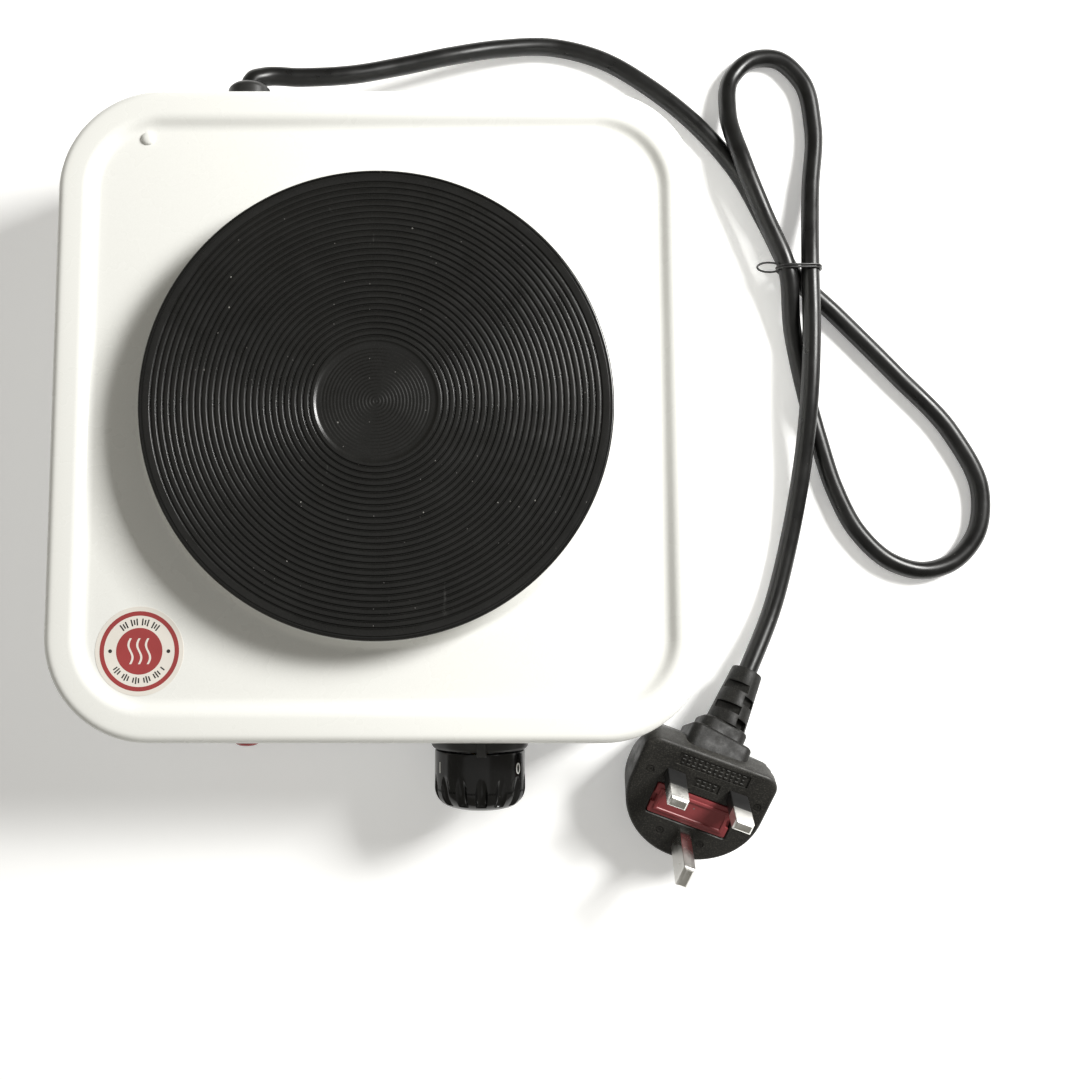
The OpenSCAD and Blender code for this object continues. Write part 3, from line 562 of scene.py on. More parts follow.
def stacked(bm, rings, matrix, closed=False):
    """Skins a stack of rings of equal length, each a list of (x, y) and a height."""
    made = [[bm.verts.new((x, y, z)) for x, y in ring] for ring, z in rings]
    bridge(bm, made + made[:1] if closed else made)
    if not closed:
        bm.faces.new(made[0][::-1])
        bm.faces.new(made[-1])
    set_at(bm, made, matrix)


def prism(bm, outline, low, high, matrix):
    """A flat outline raised from low to high along local Z."""
    stacked(bm, [(outline, low), (outline, high)], matrix)


def rounded_rectangle(w, h, r, steps=6):
    points = []
    for i, (sx, sy) in enumerate(CORNERS):
        points += arc((sx * (w / 2 - r), sy * (h / 2 - r)), r, 90 * i, 90 * i + 90, steps)
    return points


def block(bm, w, h, r, levels, matrix, closed=False):
    """A rounded block; each level is a height and how far its outline is drawn in."""
    rings = [(rounded_rectangle(w - 2 * inset, h - 2 * inset, max(r - inset, r * 0.3)), z)
             for z, inset in levels]
    stacked(bm, rings, matrix, closed)


def sweep(bm, path, radius, sides, closed=False):
    """A round tube along a path, with its frames carried along so that it never twists."""
    count = len(path)
    path = [Vector(p) for p in path]
    rings = []
    side = None
    for i, point in enumerate(path):
        ahead = path[(i + 1) % count] if closed or i < count - 1 else point
        behind = path[i - 1] if closed or i > 0 else point
        along = (ahead - behind).normalized()
        if side is None:
            side = along.orthogonal().normalized()
        side = (side - along * side.dot(along)).normalized()
        up = along.cross(side)
        rings.append([bm.verts.new(point + radius * (side * math.cos(math.tau * k / sides)
                                                     + up * math.sin(math.tau * k / sides)))
                      for k in range(sides)])
    bridge(bm, rings + rings[:1] if closed else rings)
    if not closed:
        bm.faces.new(rings[0][::-1])
        bm.faces.new(rings[-1])


# ---------- enamelled body ----------

ARC_STEPS, SIDE_STEPS = 20, 28
WALL_HOLES = ((KNOB_X, FRONT_Y, KNOB_Z, 0.005), (LAMP_X, FRONT_Y, KNOB_Z, 0.004),
              (GLAND_X, BACK_Y, GLAND_Z, 0.006))
HOLE_REACH = 0.006


def outline_ring(inset):
    """The body's rounded outline moved in by inset, its straight sides in short steps."""
    bends = rounded_rectangle(BODY_W - 2 * inset, BODY_D - 2 * inset, CORNER_R - inset, ARC_STEPS)
    points = []
    for k, (x, y) in enumerate(bends):
        points.append((x, y + BODY_Y))
        if k % (ARC_STEPS + 1) == ARC_STEPS:
            next_x, next_y = bends[(k + 1) % len(bends)]
            for i in range(1, SIDE_STEPS):
                t = i / SIDE_STEPS
                points.append((x * (1 - t) + next_x * t, y * (1 - t) + next_y * t + BODY_Y))
    return points


def circle_ring(radius, like):
    """Points on a circle round the plate's centre, at the directions of another ring's points."""
    points = []
    for x, y in like:
        v = Vector((x - PLATE_X, y - PLATE_Y)).normalized() * radius
        points.append((v.x + PLATE_X, v.y + PLATE_Y))
    return points


def make_housing():
    slope = RIM_W + STEP_W
    profile = [(0.0, BASE_Z), (0.0, 0.02), (0.0, 0.038)]
    profile += [(EDGE_R - c, z) for c, z in arc((0, RIM_Z - EDGE_R), EDGE_R, 0, 90, 9)]
    profile += soften([(EDGE_R + 0.001, RIM_Z), (RIM_W, RIM_Z), (slope, PANEL_Z),
                       (slope + 0.004, PANEL_Z)], 0.0016, 6)
    bm = bmesh.new()
    rings = [[bm.verts.new((x, y, z)) for x, y in outline_ring(inset)] for inset, z in profile]
    last = outline_ring(profile[-1][0])
    collar = soften([(COLLAR_R + 0.003, PANEL_Z), (COLLAR_R, PANEL_Z), (COLLAR_TOP_R, COLLAR_Z),
                     (COLLAR_IN_R, COLLAR_Z)], 0.0014, 6)
    for radius, z in collar:
        rings.append([bm.verts.new((x, y, z)) for x, y in circle_ring(radius, last)])
    bridge(bm, rings)
    shell = piece("body_shell", bm, "white_enamel")
    skin = shell.modifiers.new("sheet", "SOLIDIFY")
    skin.thickness = SHEET
    skin.offset = -1
    skin.use_even_offset = True
    bm = bmesh.new()
    for x, y, z, radius in WALL_HOLES:
        round_bar(bm, radius, -HOLE_REACH, HOLE_REACH, 48, Matrix.Translation((x, y, z)) @ OUT_OF_FRONT)
    carve(shell, bm, 24)
    stand_for(shell, "white_enamel", "housing")


def make_nub():
    """The small raised dot at the panel's corner."""
    bm = bmesh.new()
    dome = soften([(NUB_R, -0.0003), (NUB_R * 0.92, 0.0007), (NUB_R * 0.5, 0.0012), (0, 0.0013)], 0.0006)
    lathe(bm, [(0, -0.0003)] + dome, 40, Matrix.Translation((*NUB_AT, PANEL_Z)))
    nub = piece("body_nub", bm, "white_enamel")


# ---------- cast plate ----------

WAVE_STEPS, WAVE_HEIGHT, GROOVES_END = 6, 0.00006, 0.0725
# one groove in section: distance across in metres, share of the full depth
GROOVE_SHAPE = ((-0.00046, 0), (-0.00033, 0.12), (-0.00018, 0.85), (0, 1), (0.00018, 0.85),
                (0.00033, 0.12), (0.00046, 0))
# the plate's turned rim: distance in from its edge, distance below its top
RIM_SHAPE = ((0.0016, 0), (0.0014, 0.0004), (0.0009, 0.0004), (0.0007, 0.0001), (0.0004, 0.00015),
             (0.0001, 0.0004), (0, 0.0008))


def plate_top():
    """The turned top from the centre out: fine waves in the sunk disc, then lands and grooves."""
    floor = PLATE_Z - CENTRE_DROP
    points = []
    waves = int(CENTRE_R / FINE_PITCH) - 1
    for i in range(waves * WAVE_STEPS + 1):
        dip = WAVE_HEIGHT * (1 - math.cos(math.tau * i / WAVE_STEPS))
        points.append((i * FINE_PITCH / WAVE_STEPS, floor - dip))
    points += [(CENTRE_R - 0.0011, floor), (CENTRE_R - 0.0006, floor + 0.00014),
               (CENTRE_R - 0.0002, floor + 0.00036), (CENTRE_R, PLATE_Z - 0.00006),
               (CENTRE_R + 0.00016, PLATE_Z)]
    r = CENTRE_R + 0.0015
    while r < GROOVES_END:
        points += [(r + across, PLATE_Z - share * GROOVE_DEPTH) for across, share in GROOVE_SHAPE]
        r += GROOVE_PITCH
    return points + [(PLATE_R - inward, PLATE_Z - drop) for inward, drop in RIM_SHAPE]


def make_plate():
    profile = plate_top() + [(PLATE_R, COLLAR_Z + 0.0006), (PLATE_R - 0.0006, COLLAR_Z),
                             (HUB_R, COLLAR_Z), (HUB_R, HUB_Z)]
    for r in COIL_RADII:
        outer, inner, roof = r + CHANNEL_HALF, r - CHANNEL_HALF, HUB_Z + CHANNEL_DEPTH
        profile += [(outer, HUB_Z), (outer, roof), (inner, roof), (inner, HUB_Z)]
    profile += [(STUD_R, HUB_Z), (STUD_R, HUB_Z + STUD_DEPTH), (0, HUB_Z + STUD_DEPTH)]
    bm = bmesh.new()
    lathe(bm, profile, 288, Matrix.Translation((PLATE_X, PLATE_Y, 0)))
    plate = piece("cast_plate", bm, "cast_plate", sharp=50)
    stand_for(plate, "cast_plate", "heating_plate")


# ---------- dial ----------

NUMERALS = (("0", 54), ("1", -62), ("2", -100), ("3", -138), ("4", -176), ("5", -213))
NUMERAL_SIZE, NUMERAL_OUT, PRINT_RAISED, PRINT_SUNK = 0.0052, 0.0120, 0.00006, 0.00003
KNOB_NOSE_R, FLUTE_DEPTH = 0.0065, 0.00165
# the knob's inside as (radius, distance from the wall): hollow skirt, sleeve, spindle bore
KNOB_HOLLOW = ((KNOB_R - 0.0022, 0.0049), (KNOB_R - 0.0022, 0.017), (0.0046, 0.017), (0.0046, 0.0065),
               (0.0031, 0.0065), (0.0031, 0.0165), (0, 0.0165))
AT_KNOB = Matrix.Translation((KNOB_X, FRONT_Y, KNOB_Z))


def knob_profile():
    """Outer line of the knob as (radius, distance from the wall), from its rear edge to its nose."""
    r, nose = KNOB_R, KNOB_OUT
    points = [(r - 0.0004, 0.0049), (r - 0.0001, 0.0051), (r, 0.0055)]
    points += [(r, 0.0055 + 0.0005 * i) for i in range(1, 26)]
    points += arc((r - KNOB_NOSE_R, nose - 0.0076), KNOB_NOSE_R, 0, 66, 26)
    points += [(r - KNOB_NOSE_R, nose - 0.0009), (r - 0.0085, nose - 0.0005), (r - 0.0105, nose - 0.00025),
               (r - 0.0128, nose - 0.00008), (0, nose)]
    return points


def flute_depth(angle, out):
    """How deep a grip flute cuts at this angle and distance from the wall."""
    rear, front = KNOB_OUT - 0.0125, KNOB_OUT - 0.0026
    if not rear < out < front:
        return 0
    period = math.tau / FLUTES
    off = (angle / period) % 1 - 0.5
    across = off * period * KNOB_R
    bottom = FLUTE_DEPTH * math.sin(math.pi / 2 * min(1, (out - rear) / 0.0075))
    end = max(0, 1 - ((out - (front - 0.0018)) / 0.0018) ** 2) if out > front - 0.0018 else 1
    curve = 0.0021
    return max(0, bottom - (curve - math.sqrt(max(0, curve ** 2 - across ** 2)))) * math.sqrt(end)


def make_knob():
    steps = FLUTES * 30
    bm = bmesh.new()
    outside = []
    for radius, out in knob_profile():
        outside.append(spun(bm, radius, out, steps, lambda angle: flute_depth(angle, out)))
    inside = [spun(bm, radius, out, steps) for radius, out in KNOB_HOLLOW]
    bridge(bm, outside)
    bridge(bm, [outside[0]] + inside)
    set_at(bm, outside + inside, AT_KNOB @ OUT_OF_FRONT)
    knob = piece("knob_cap", bm, "knob_black", "dial", 30)
    stand_for(knob, "knob_black", "knob")


def flat_numeral(text):
    """One character as a flat mesh."""
    curve = bpy.data.curves.new("numeral", "FONT")
    curve.body = text
    curve.size = NUMERAL_SIZE
    curve.align_x = "CENTER"
    curve.resolution_u = 6
    holder = bpy.data.objects.new("numeral", curve)
    bpy.context.scene.collection.objects.link(holder)
    bpy.context.view_layer.update()
    graph = bpy.context.evaluated_depsgraph_get()
    flat = bpy.data.meshes.new_from_object(holder.evaluated_get(graph))
    bpy.data.objects.remove(holder)
    return flat


def wrapped_numeral(text, turn):
    """One character thickened and bent round the knob's skirt, with its top towards the body."""
    part = bmesh.new()
    part.from_mesh(flat_numeral(text))
    bmesh.ops.triangulate(part, faces=part.faces)
    bmesh.ops.subdivide_edges(part, edges=part.edges, cuts=1)
    raised = bmesh.ops.extrude_face_region(part, geom=list(part.faces))
    top = {v for v in raised["geom"] if isinstance(v, bmesh.types.BMVert)}
    for v in part.verts:
        angle = math.radians(turn) + v.co.x / KNOB_R
        r = KNOB_R + (PRINT_RAISED if v in top else -PRINT_SUNK)
        v.co = (r * math.sin(angle), v.co.y - NUMERAL_OUT, r * math.cos(angle))
    set_at(part, [part.verts], AT_KNOB)
    mesh = bpy.data.meshes.new("numeral")
    part.to_mesh(mesh)
    part.free()
    return mesh


def make_numerals():
    bm = bmesh.new()
    for text, turn in NUMERALS:
        bm.from_mesh(wrapped_numeral(text, turn))
    numerals = piece("knob_numerals", bm, "numeral_white", "dial")


def make_bezel():
    """The fixed ring behind the knob, and the index tab at its top."""
    r, bore = BEZEL_R, BEZEL_BORE_R
    bm = bmesh.new()
    profile = soften([(bore, 0.0001), (r - 0.0006, 0.0001), (r, 0.0016), (r - 0.0004, 0.0036),
                      (r - 0.0010, 0.0044), (0.011, 0.0044), (0.011, 0.0012), (bore, 0.0012)], 0.0004)
    lathe(bm, profile + [profile[0]], 112, AT_KNOB @ OUT_OF_FRONT)
    bmesh.ops.remove_doubles(bm, verts=bm.verts, dist=1e-7)
    ring = piece("dial_bezel", bm, "bezel_black")
    stand_for(ring, "bezel_black", "knob_bezel")
    bm = bmesh.new()
    low, high, half = r - 0.0014, r + 0.0006, 0.0016
    prism(bm, [(-half, low), (half, low), (half, high), (-half, high)], 0.0008, 0.0057,
          AT_KNOB @ OUT_OF_FRONT)
    bmesh.ops.bevel(bm, geom=list(bm.edges), offset=0.00035, segments=3, affect="EDGES", profile=0.5)
    index = piece("dial_index", bm, "bezel_black")


# ---------- lamp, gland and label ----------

def make_lamp():
    bm = bmesh.new()
    r = LAMP_R
    dome = soften([(r, 0.0001), (r, 0.0018), (r - 0.0007, 0.0032), (r - 0.0022, 0.0039), (0, 0.0041)],
                  0.0009)
    profile = [(0, -0.006), (0.0039, -0.006), (0.0039, 0.0001)] + dome
    lathe(bm, profile, 72, Matrix.Translation((LAMP_X, FRONT_Y, KNOB_Z)) @ OUT_OF_FRONT)
    lens = piece("lamp_dome", bm, "lamp_red")
    stand_for(lens, "lamp_red", "lamp_lens")


def make_gland():
    bm = bmesh.new()
    tail = -0.010
    collar = soften([(0.0076, 0.0), (0.0076, GLAND_OUT - 0.0016), (0.0060, GLAND_OUT),
                     (LEAD_R + 0.0005, GLAND_OUT), (LEAD_R, GLAND_OUT - 0.0006)], 0.0008)
    profile = [(LEAD_R, tail), (0.0060, tail), (0.0060, 0.0)] + collar + [(LEAD_R, tail)]
    lathe(bm, profile, 72, Matrix.Translation((GLAND_X, BACK_Y, GLAND_Z)) @ OUT_OF_BACK)
    bmesh.ops.remove_doubles(bm, verts=bm.verts, dist=1e-7)
    gland = piece("gland_body", bm, "gland_black")
    stand_for(gland, "gland_black", "cord_gland")


# heights above the panel, and the label's printed shapes
CARD_T, PRINT_LOW, PRINT_HIGH, WAVE_HIGH = 0.0001, 0.00008, 0.00013, 0.00016
RING_IN_R, RING_OUT_R, DISC_R, TICKS_R, DOT_R = 0.0113, 0.0127, 0.0074, 0.0093, 0.0006
TICK_HALF, TICK_STEP = 0.00022, 5.4
HEAT_WAVES, HEAT_HALF, HEAT_LONG, HEAT_SWAY = (-0.0028, 0.0, 0.0028), 0.00034, 0.0082, 0.0007
ON_LABEL = Matrix.Translation((*LABEL_AT, PANEL_Z))


def make_label_card():
    bm = bmesh.new()
    profile = [(0, 0), (LABEL_R - 0.0001, 0), (LABEL_R, 0.00004), (LABEL_R - 0.00005, CARD_T), (0, CARD_T)]
    lathe(bm, profile, 128, ON_LABEL)
    card = piece("heat_label", bm, "label_white")
    stand_for(card, "label_print", "hot_label")


def make_label_red():
    """The red ring and the red disc."""
    bm = bmesh.new()
    lathe(bm, [(RING_IN_R, PRINT_LOW), (RING_OUT_R, PRINT_LOW), (RING_OUT_R, PRINT_HIGH),
               (RING_IN_R, PRINT_HIGH), (RING_IN_R, PRINT_LOW)], 96, ON_LABEL)
    round_bar(bm, DISC_R, PRINT_LOW, PRINT_HIGH, 96, ON_LABEL)
    bmesh.ops.remove_doubles(bm, verts=bm.verts, dist=1e-7)
    red = piece("label_red_print", bm, "label_red")


def make_label_waves():
    """Three heat waves on the red disc."""
    bm = bmesh.new()
    for x in HEAT_WAVES:
        path = []
        for i in range(25):
            t = i / 24
            path.append((x + HEAT_SWAY * math.sin(math.tau * t), HEAT_LONG * (t - 0.5)))
        left = [(px - HEAT_HALF, py) for px, py in path]
        right = [(px + HEAT_HALF, py) for px, py in path[::-1]]
        prism(bm, left + right, 0.00012, WAVE_HIGH, ON_LABEL)
    waves = piece("label_waves", bm, "label_white")


def make_label_ink():
    """Plain ticks above and below, in place of lettering, and a dot at each side."""
    bm = bmesh.new()
    for side in (0, 180):
        turned = ON_LABEL @ Matrix.Rotation(math.radians(side), 4, "Z")
        round_bar(bm, DOT_R, PRINT_LOW, PRINT_HIGH, 24, turned @ Matrix.Translation((TICKS_R, 0, 0)))
    for middle, half in ((90, 7), (270, 10)):
        for i in range(-half, half + 1):
            if (i + half) % 4 == 3:
                continue
            turned = ON_LABEL @ Matrix.Rotation(math.radians(middle + i * TICK_STEP - 90), 4, "Z")
            reach = 0.0011 if i % 2 else 0.0008
            tick = [(-TICK_HALF, -reach), (TICK_HALF, -reach), (TICK_HALF, reach), (-TICK_HALF, reach)]
            prism(bm, tick, PRINT_LOW, PRINT_HIGH, turned @ Matrix.Translation((0, TICKS_R, 0)))
    ink = piece("label_ink_print", bm, "label_ink")


# ---------- lead and tie ----------

END_HANDLE = 0.01
TIE_R, TIE_TURNS = 0.0004, (0.0656, 0.0665)
STRANDS = [(0.1486, 0.0109), (0.153, 0.0042), (0.1572, 0.0109)]
EYE_AT, EYE_LONG, EYE_WIDE = (0.1415, 0.0660, 0.0124), 0.0043, 0.0018
EYE_ROOT_X, EYE_ROOT_Z, EYE_MIDDLE_Z = 0.1463, 0.0139, 0.0128


def slopes(points, leaves, arrives):
    """The direction of the lead at each point of its route, weighted by the steps beside it."""
    found = [Vector(leaves)]
    for before, here, after in zip(points, points[1:], points[2:]):
        a, b = here - before, after - here
        found.append((b / b.length * a.length + a / a.length * b.length) / (a.length + b.length))
    return found + [Vector(arrives)]


def make_lead(with_pieces):
    points = [Vector(p) for p in ROUTE]
    directions = slopes(points, LEAD_LEAVES, LEAD_ARRIVES)
    curve = bpy.data.curves.new("mains_lead", "CURVE")
    curve.dimensions = "3D"
    curve.bevel_depth = LEAD_R
    curve.bevel_resolution = 6
    curve.resolution_u = 10
    curve.use_fill_caps = True
    spline = curve.splines.new("BEZIER")
    spline.bezier_points.add(len(points) - 1)
    for i, (knot, point, slope) in enumerate(zip(spline.bezier_points, points, directions)):
        ahead = (points[i + 1] - point).length if i + 1 < len(points) else END_HANDLE
        behind = (point - points[i - 1]).length if i else END_HANDLE
        knot.handle_left_type = knot.handle_right_type = "FREE"
        knot.co = point
        knot.handle_left = point - slope * behind / 3
        knot.handle_right = point + slope * ahead / 3
    curve.materials.append(MATERIALS["lead_black"])
    lead = bpy.data.objects.new("mains_lead", curve)
    bpy.context.scene.collection.objects.link(lead)
    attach(lead, "stove")
    stand_for(lead, "lead_black", "power_cord")
    return lead


def hull_loop(centres, radius, y):
    """A loop drawn tight round some circles in the XZ plane, given anticlockwise."""
    points = []
    count = len(centres)
    for i, centre in enumerate(centres):
        before, after = centres[i - 1], centres[(i + 1) % count]
        into = math.atan2(centre[1] - before[1], centre[0] - before[0]) - math.pi / 2
        away = math.atan2(after[1] - centre[1], after[0] - centre[0]) - math.pi / 2
        while away < into:
            away += math.tau
        for k in range(9):
            a = into + (away - into) * k / 8
            points.append((centre[0] + radius * math.cos(a), y, centre[1] + radius * math.sin(a)))
    return points


def make_tie():
    """Two turns of coated wire round the strands, with a flattened loop left at one side."""
    bm = bmesh.new()
    for y in TIE_TURNS:
        sweep(bm, hull_loop(STRANDS, LEAD_R + 0.0005, y), TIE_R, 10, closed=True)
    x, y, z = EYE_AT
    eye = []
    for i in range(33):
        turn = math.radians(20 + 320 * i / 32)
        eye.append((x + EYE_LONG * math.cos(turn), y + EYE_WIDE * math.sin(turn), z))
    for root_y, tip in zip(TIE_TURNS, (eye[0], eye[-1])):
        middle = ((EYE_ROOT_X + tip[0]) / 2, (root_y + tip[1]) / 2, EYE_MIDDLE_Z)
        sweep(bm, [(EYE_ROOT_X, root_y, EYE_ROOT_Z), middle, tip], TIE_R, 8)
    sweep(bm, eye, TIE_R, 8)
    tie = piece("twist_tie", bm, "tie_black")
    stand_for(tie, "tie_black", "cord_tie")
    return tie


# ---------- plug ----------

PLUG_EDGE, PLUG_BACK_EDGE, PLUG_SHIFT = 0.0013, 0.0008, -0.001
PLUG_BACK_Y, PLUG_UNDER_Z = 0.0245, 0.0003
DASH_COLUMNS, DASH_ROWS, PIN_ROOT = 0.0019, 0.0014, -0.005
COLLAR_SIZES = ((0.022, 0.017, 0.003, 0.002), (0.0166, 0.0145, 0.004, 0.0065))


def in_plug(x=0.0, y=0.0):
    return IN_PLUG @ Matrix.Translation((x, y, 0))


def plug_ring(inset, z):
    """Outline of the plug at one depth: round below, two shoulders above, tapering to the back."""
    r, shoulder, top = PLUG_W / 2 - inset, PLUG_SHOULDER - inset, PLUG_TOP - inset
    points = arc((0, PLUG_MIDDLE), r, 180, 360, 48)
    side = top - shoulder - PLUG_MIDDLE
    for k in range(1, 7):
        points.append((r, PLUG_MIDDLE + side * k / 7))
    points += arc((r - shoulder, top - shoulder), shoulder, 0, 90, 10)
    for k in range(1, 10):
        points.append(((r - shoulder) * (1 - k / 5), top))
    points += arc((shoulder - r, top - shoulder), shoulder, 90, 180, 10)
    for k in range(1, 7):
        points.append((-r, top - shoulder - side * k / 7))
    reach = PLUG_W / 2 - 0.003 + 0.009 * (1 + z / PLUG_T)
    held = []
    for x, y in points:
        v = Vector((x, y - PLUG_MIDDLE))
        if v.length > reach:
            v *= reach / v.length
        held.append((v.x + PLUG_SHIFT, v.y + PLUG_MIDDLE))
    return held


def cut_flat(bm, spot, away):
    """Cuts off everything on the far side of a plane and closes the hole."""
    bmesh.ops.bisect_plane(bm, geom=bm.verts[:] + bm.edges[:] + bm.faces[:], dist=1e-7,
                           plane_co=spot, plane_no=away, clear_outer=True)
    bmesh.ops.holes_fill(bm, edges=[e for e in bm.edges if e.is_boundary], sides=0)


def carve_plug_face(shell):
    """Sinks the carrier's opening, the two blank panels and the round marks into the plug's face."""
    bm = bmesh.new()
    block(bm, CARRIER_W + 0.0006, CARRIER_D + 0.0006, 0.0007,
          [(-CARRIER_DEPTH - 0.0003, 0), (-0.0004, 0), (0.0002, -0.0005), (0.002, -0.0005)],
          in_plug(*CARRIER_AT))
    for y, width, height, corner, _, _ in PLUG_PANELS:
        block(bm, width, height, corner, [(-0.0004, 0.0002), (0.002, -0.0001)], in_plug(0, y))
    for x, y in MARKS:
        lathe(bm, [(0, -0.0003), (0.0014, -0.0003), (0.0016, 0.001), (0, 0.001)], 32, in_plug(x, y))
    carve(shell, bm)


def make_plug_shell():
    levels = [(-PLUG_T, PLUG_BACK_EDGE), (-PLUG_T + PLUG_BACK_EDGE, 0)]
    levels += [(-PLUG_T + PLUG_BACK_EDGE + 0.002 * i, 0) for i in range(1, 11)]
    levels += [(z - PLUG_EDGE, PLUG_EDGE - x) for x, z in arc((0, 0), PLUG_EDGE, 0, 90, 6)]
    bm = bmesh.new()
    stacked(bm, [(plug_ring(inset, z), z) for z, inset in levels], IN_PLUG)
    turned = Matrix.Translation(PLUG_AT) @ Matrix.Rotation(math.radians(PLUG_TURN), 4, "Z")
    cut_flat(bm, turned @ Vector((0, PLUG_BACK_Y, 0)), turned.to_3x3() @ Vector((0, 1, 0)))
    cut_flat(bm, (0, 0, PLUG_UNDER_Z), (0, 0, -1))
    shell = piece("plug_shell", bm, "plug_black")
    carve_plug_face(shell)
    stand_for(shell, "plug_black", "plug_body")
    return shell


def make_plug_neck():
    """Two stepped collars where the boot leaves the plug."""
    bm = bmesh.new()
    along = IN_BOOT @ Matrix.Translation((PLUG_SHIFT, 0, 0)) @ OUT_OF_BACK
    for width, depth, corner, out in COLLAR_SIZES:
        block(bm, width, depth, corner,
              [(-0.009, 0), (out - 0.001, 0), (out - 0.0004, 0.0003), (out, 0.0009)], along)
    # painted shade: the neck uses the plug vinyl darkened
    neck = piece("plug_neck", bm, "vinyl_painted_shade")
    return neck


def make_plug_details():
    """Blank raised dashes in the two panels, in place of the moulded lettering."""
    bm = bmesh.new()
    for y0, _, _, _, columns, rows in PLUG_PANELS:
        for row in range(rows):
            y = y0 + (row - (rows - 1) / 2) * DASH_ROWS
            for column in range(columns):
                x = (column - (columns - 1) / 2) * DASH_COLUMNS
                width = 0.00124 if (column + row) % 3 else 0.0008
                block(bm, width, 0.0006, 0.0001, [(-0.0005, 0), (-0.0002, 0), (-0.0001, 0.0001)],
                      in_plug(x, y))
    for x, y in MARKS:
        lathe(bm, [(0.0006, -0.0004), (0.0006, -0.0001), (0.0010, -0.0001), (0.0010, -0.0004)], 24,
              in_plug(x, y))
    dashes = piece("plug_dashes", bm, "plug_black")
    return dashes


def make_boot():
    """The CAD boot's own shape with its sharp edges rounded."""
    bm = bmesh.new()
    bm.from_mesh(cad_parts["plug_boot"].data)
    bmesh.ops.remove_doubles(bm, verts=bm.verts, dist=2e-6)
    bmesh.ops.dissolve_limit(bm, angle_limit=math.radians(0.8), verts=bm.verts, edges=bm.edges)
    # painted shade: the boot uses the plug vinyl darkened
    boot = piece("strain_boot", bm, "vinyl_painted_shade")
    bevel = boot.modifiers.new("rounded", "BEVEL")
    bevel.width = 0.0004
    bevel.segments = 3
    bevel.limit_method = "ANGLE"
    bevel.angle_limit = math.radians(35)
    bevel.use_clamp_overlap = True
    bevel.miter_outer = "MITER_ARC"
    apply_modifiers(boot, 32)
    stand_for(boot, "plug_black", "plug_boot")
    return boot


def make_line_pins():
    bm = bmesh.new()
    for x in (-PIN_X, PIN_X):
        at = in_plug(x, PIN_X)
        block(bm, 0.005, 0.0028, 0.0002, [(PIN_ROOT, 0), (SLEEVE_OUT + 0.0001, 0)], at)
        block(bm, PIN_W, PIN_T, 0.0003,
              [(SLEEVE_OUT, 0.0001), (SLEEVE_OUT + 0.0001, 0), (PIN_OUT - 0.0011, 0),
               (PIN_OUT - 0.0008, 0.0001), (PIN_OUT - 0.0001, 0.0007), (PIN_OUT, 0.0009)], at)
    pins = piece("line_pins", bm, "pin_metal", sharp=25)
    stand_for(pins, "pin_metal", "plug_pins")
    return pins


def make_sleeves():
    bm = bmesh.new()
    for x in (-PIN_X, PIN_X):
        block(bm, PIN_W, PIN_T, 0.0003,
              [(0, 0), (SLEEVE_OUT - 0.0002, 0), (SLEEVE_OUT, 0.0001), (SLEEVE_OUT, 0.0005), (0, 0.0005)],
              in_plug(x, PIN_X), closed=True)
    sleeves = piece("line_pin_sleeves", bm, "sleeve_black", sharp=25)
    stand_for(sleeves, "sleeve_black", "pin_sleeves")
    return sleeves


def make_earth_pin():
    bm = bmesh.new()
    levels = [(PIN_ROOT, 0), (EARTH_OUT - 0.0012, 0), (EARTH_OUT - 0.0008, 0.0001),
              (EARTH_OUT - 0.0001, 0.0008), (EARTH_OUT, 0.001)]
    block(bm, EARTH_W, EARTH_T, 0.0003, levels, in_plug(0, -PIN_X))
    earth = piece("earth_prong", bm, "pin_metal", sharp=25)
    stand_for(earth, "pin_metal", "earth_pin")
    return earth


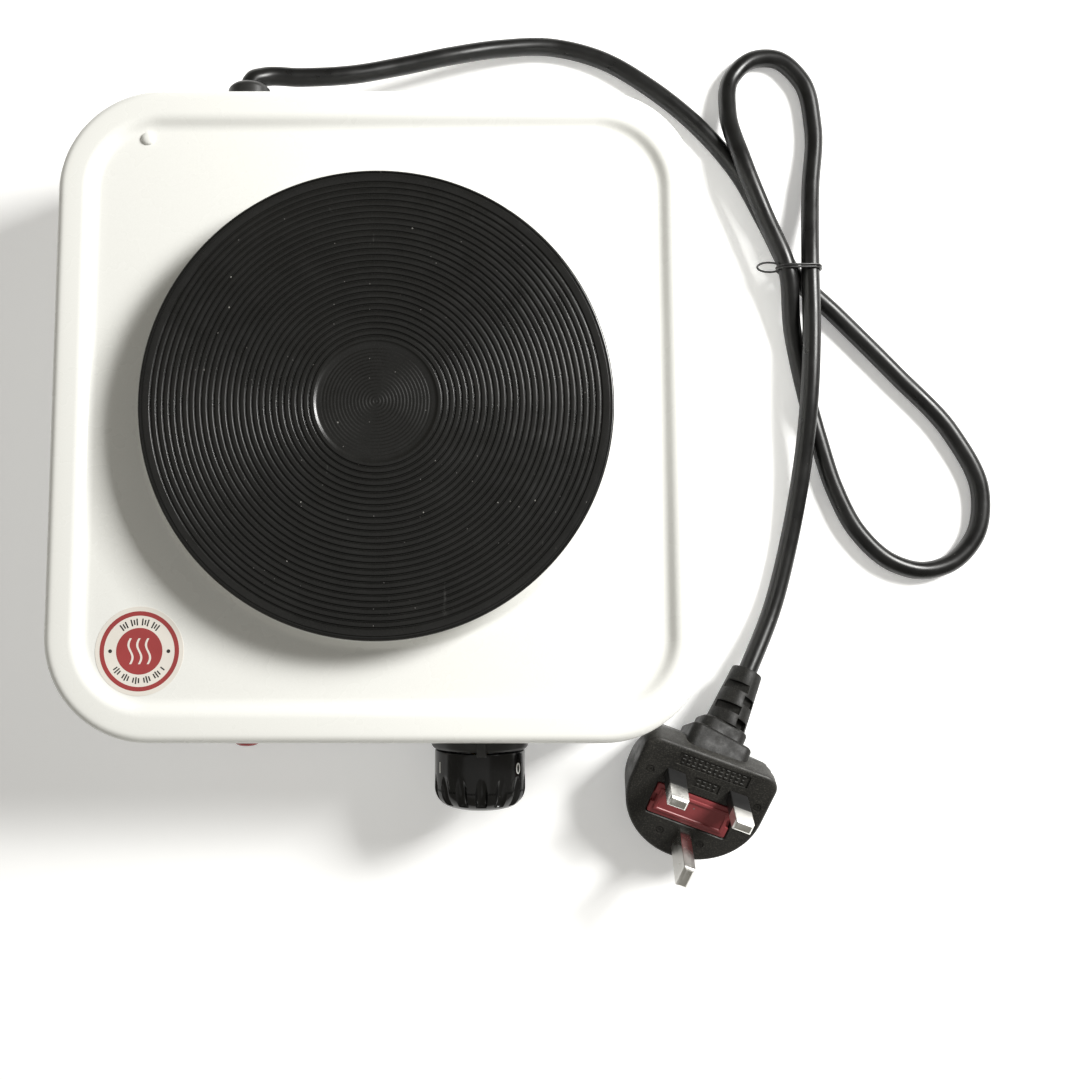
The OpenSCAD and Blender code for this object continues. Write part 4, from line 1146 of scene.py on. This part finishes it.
def make_carrier():
    """The red fuse drawer: a raised frame round a sunk field, a finger notch at either end."""
    middle = in_plug(*CARRIER_AT)
    bm = bmesh.new()
    block(bm, CARRIER_W, CARRIER_D, 0.0008, [
        (-CARRIER_DEPTH, 0), (-0.0004, 0), (-0.0001, 0.0001), (0, 0.0004), (0, 0.0016), (0.0004, 0.0017),
        (0.0005, 0.0020), (0.0005, 0.0026), (0.0002, 0.0028), (0.0002, 0.0034)], middle)
    drawer = piece("fuse_drawer", bm, "carrier_red", "carrier", sharp=28)
    bm = bmesh.new()
    lying = Matrix.Translation((0, 0, -FUSE_DEPTH)) @ Matrix.Rotation(math.radians(90), 4, "Y")
    round_bar(bm, FUSE_R, -FUSE_HALF, FUSE_HALF, 48, middle @ lying)
    block(bm, 0.0272, 0.0062, 0.0002, [(-0.009, 0), (-0.0052, 0)], middle)
    for side in (-1, 1):
        block(bm, 0.0024, 0.0034, 0.0007, [(-0.0015, 0), (0.002, 0)],
              middle @ Matrix.Translation((side * 0.0138, 0, 0)))
    carve(drawer, bm, 28)
    stand_for(drawer, "carrier_red", "fuse_carrier")
    return drawer


# ---------- carried-over CAD nodes ----------

FINISHES = {
    "zinc_sheet": ["base_plate", "corner_brackets", "plate_cover", "plate_strap", "thermostat_frame"],
    "foot_rubber": ["feet"],
    "zinc_screw": ["foot_screws", "plate_stud", "stud_washer", "stud_nut", "bush_nut", "stack_rivet",
                   "lamp_clip", "earth_screw", "terminal_pins"],
    "resistance_wire": ["element_coils"],
    "element_cement": ["element_cement"],
    "bead_ceramic": ["terminal_beads", "ceramic_stack", "striker_pin"],
    "bush_brass": ["thermostat_bush", "spindle", "block_screws"],
    "blade_bronze": ["spring_blades"],
    "contact_silver": ["contact_buttons"],
    "lamp_white": ["lamp_body"],
    "block_ceramic": ["terminal_block"],
    "fuse_sleeve": ["thermal_fuse"],
    "wire_brown": ["wire_live"],
    "wire_blue": ["wire_neutral"],
    "wire_green": ["wire_earth"],
    "wire_white": ["lamp_wires"],
    "gland_black": ["gland_nut"],
    "lead_black": ["lead_tail"],
    "fuse_ceramic": ["cartridge_fuse"],
}


def finish_nodes():
    """Gives the CAD's own shapes that stay in view their materials."""
    for slot, nodes in FINISHES.items():
        for node in nodes:
            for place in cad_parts[node].material_slots:
                place.material = MATERIALS[slot]


# ---------- the whole ----------

make_camera()
make_studio()
make_lead([make_tie(), make_boot(), make_plug_shell(), make_plug_neck(), make_plug_details(),
           make_carrier(), make_line_pins(), make_sleeves(), make_earth_pin(), "cartridge_fuse"])
make_housing()
make_nub()
make_plate()
make_knob()
make_numerals()
make_bezel()
make_lamp()
make_gland()
make_label_card()
make_label_red()
make_label_waves()
make_label_ink()
finish_nodes()
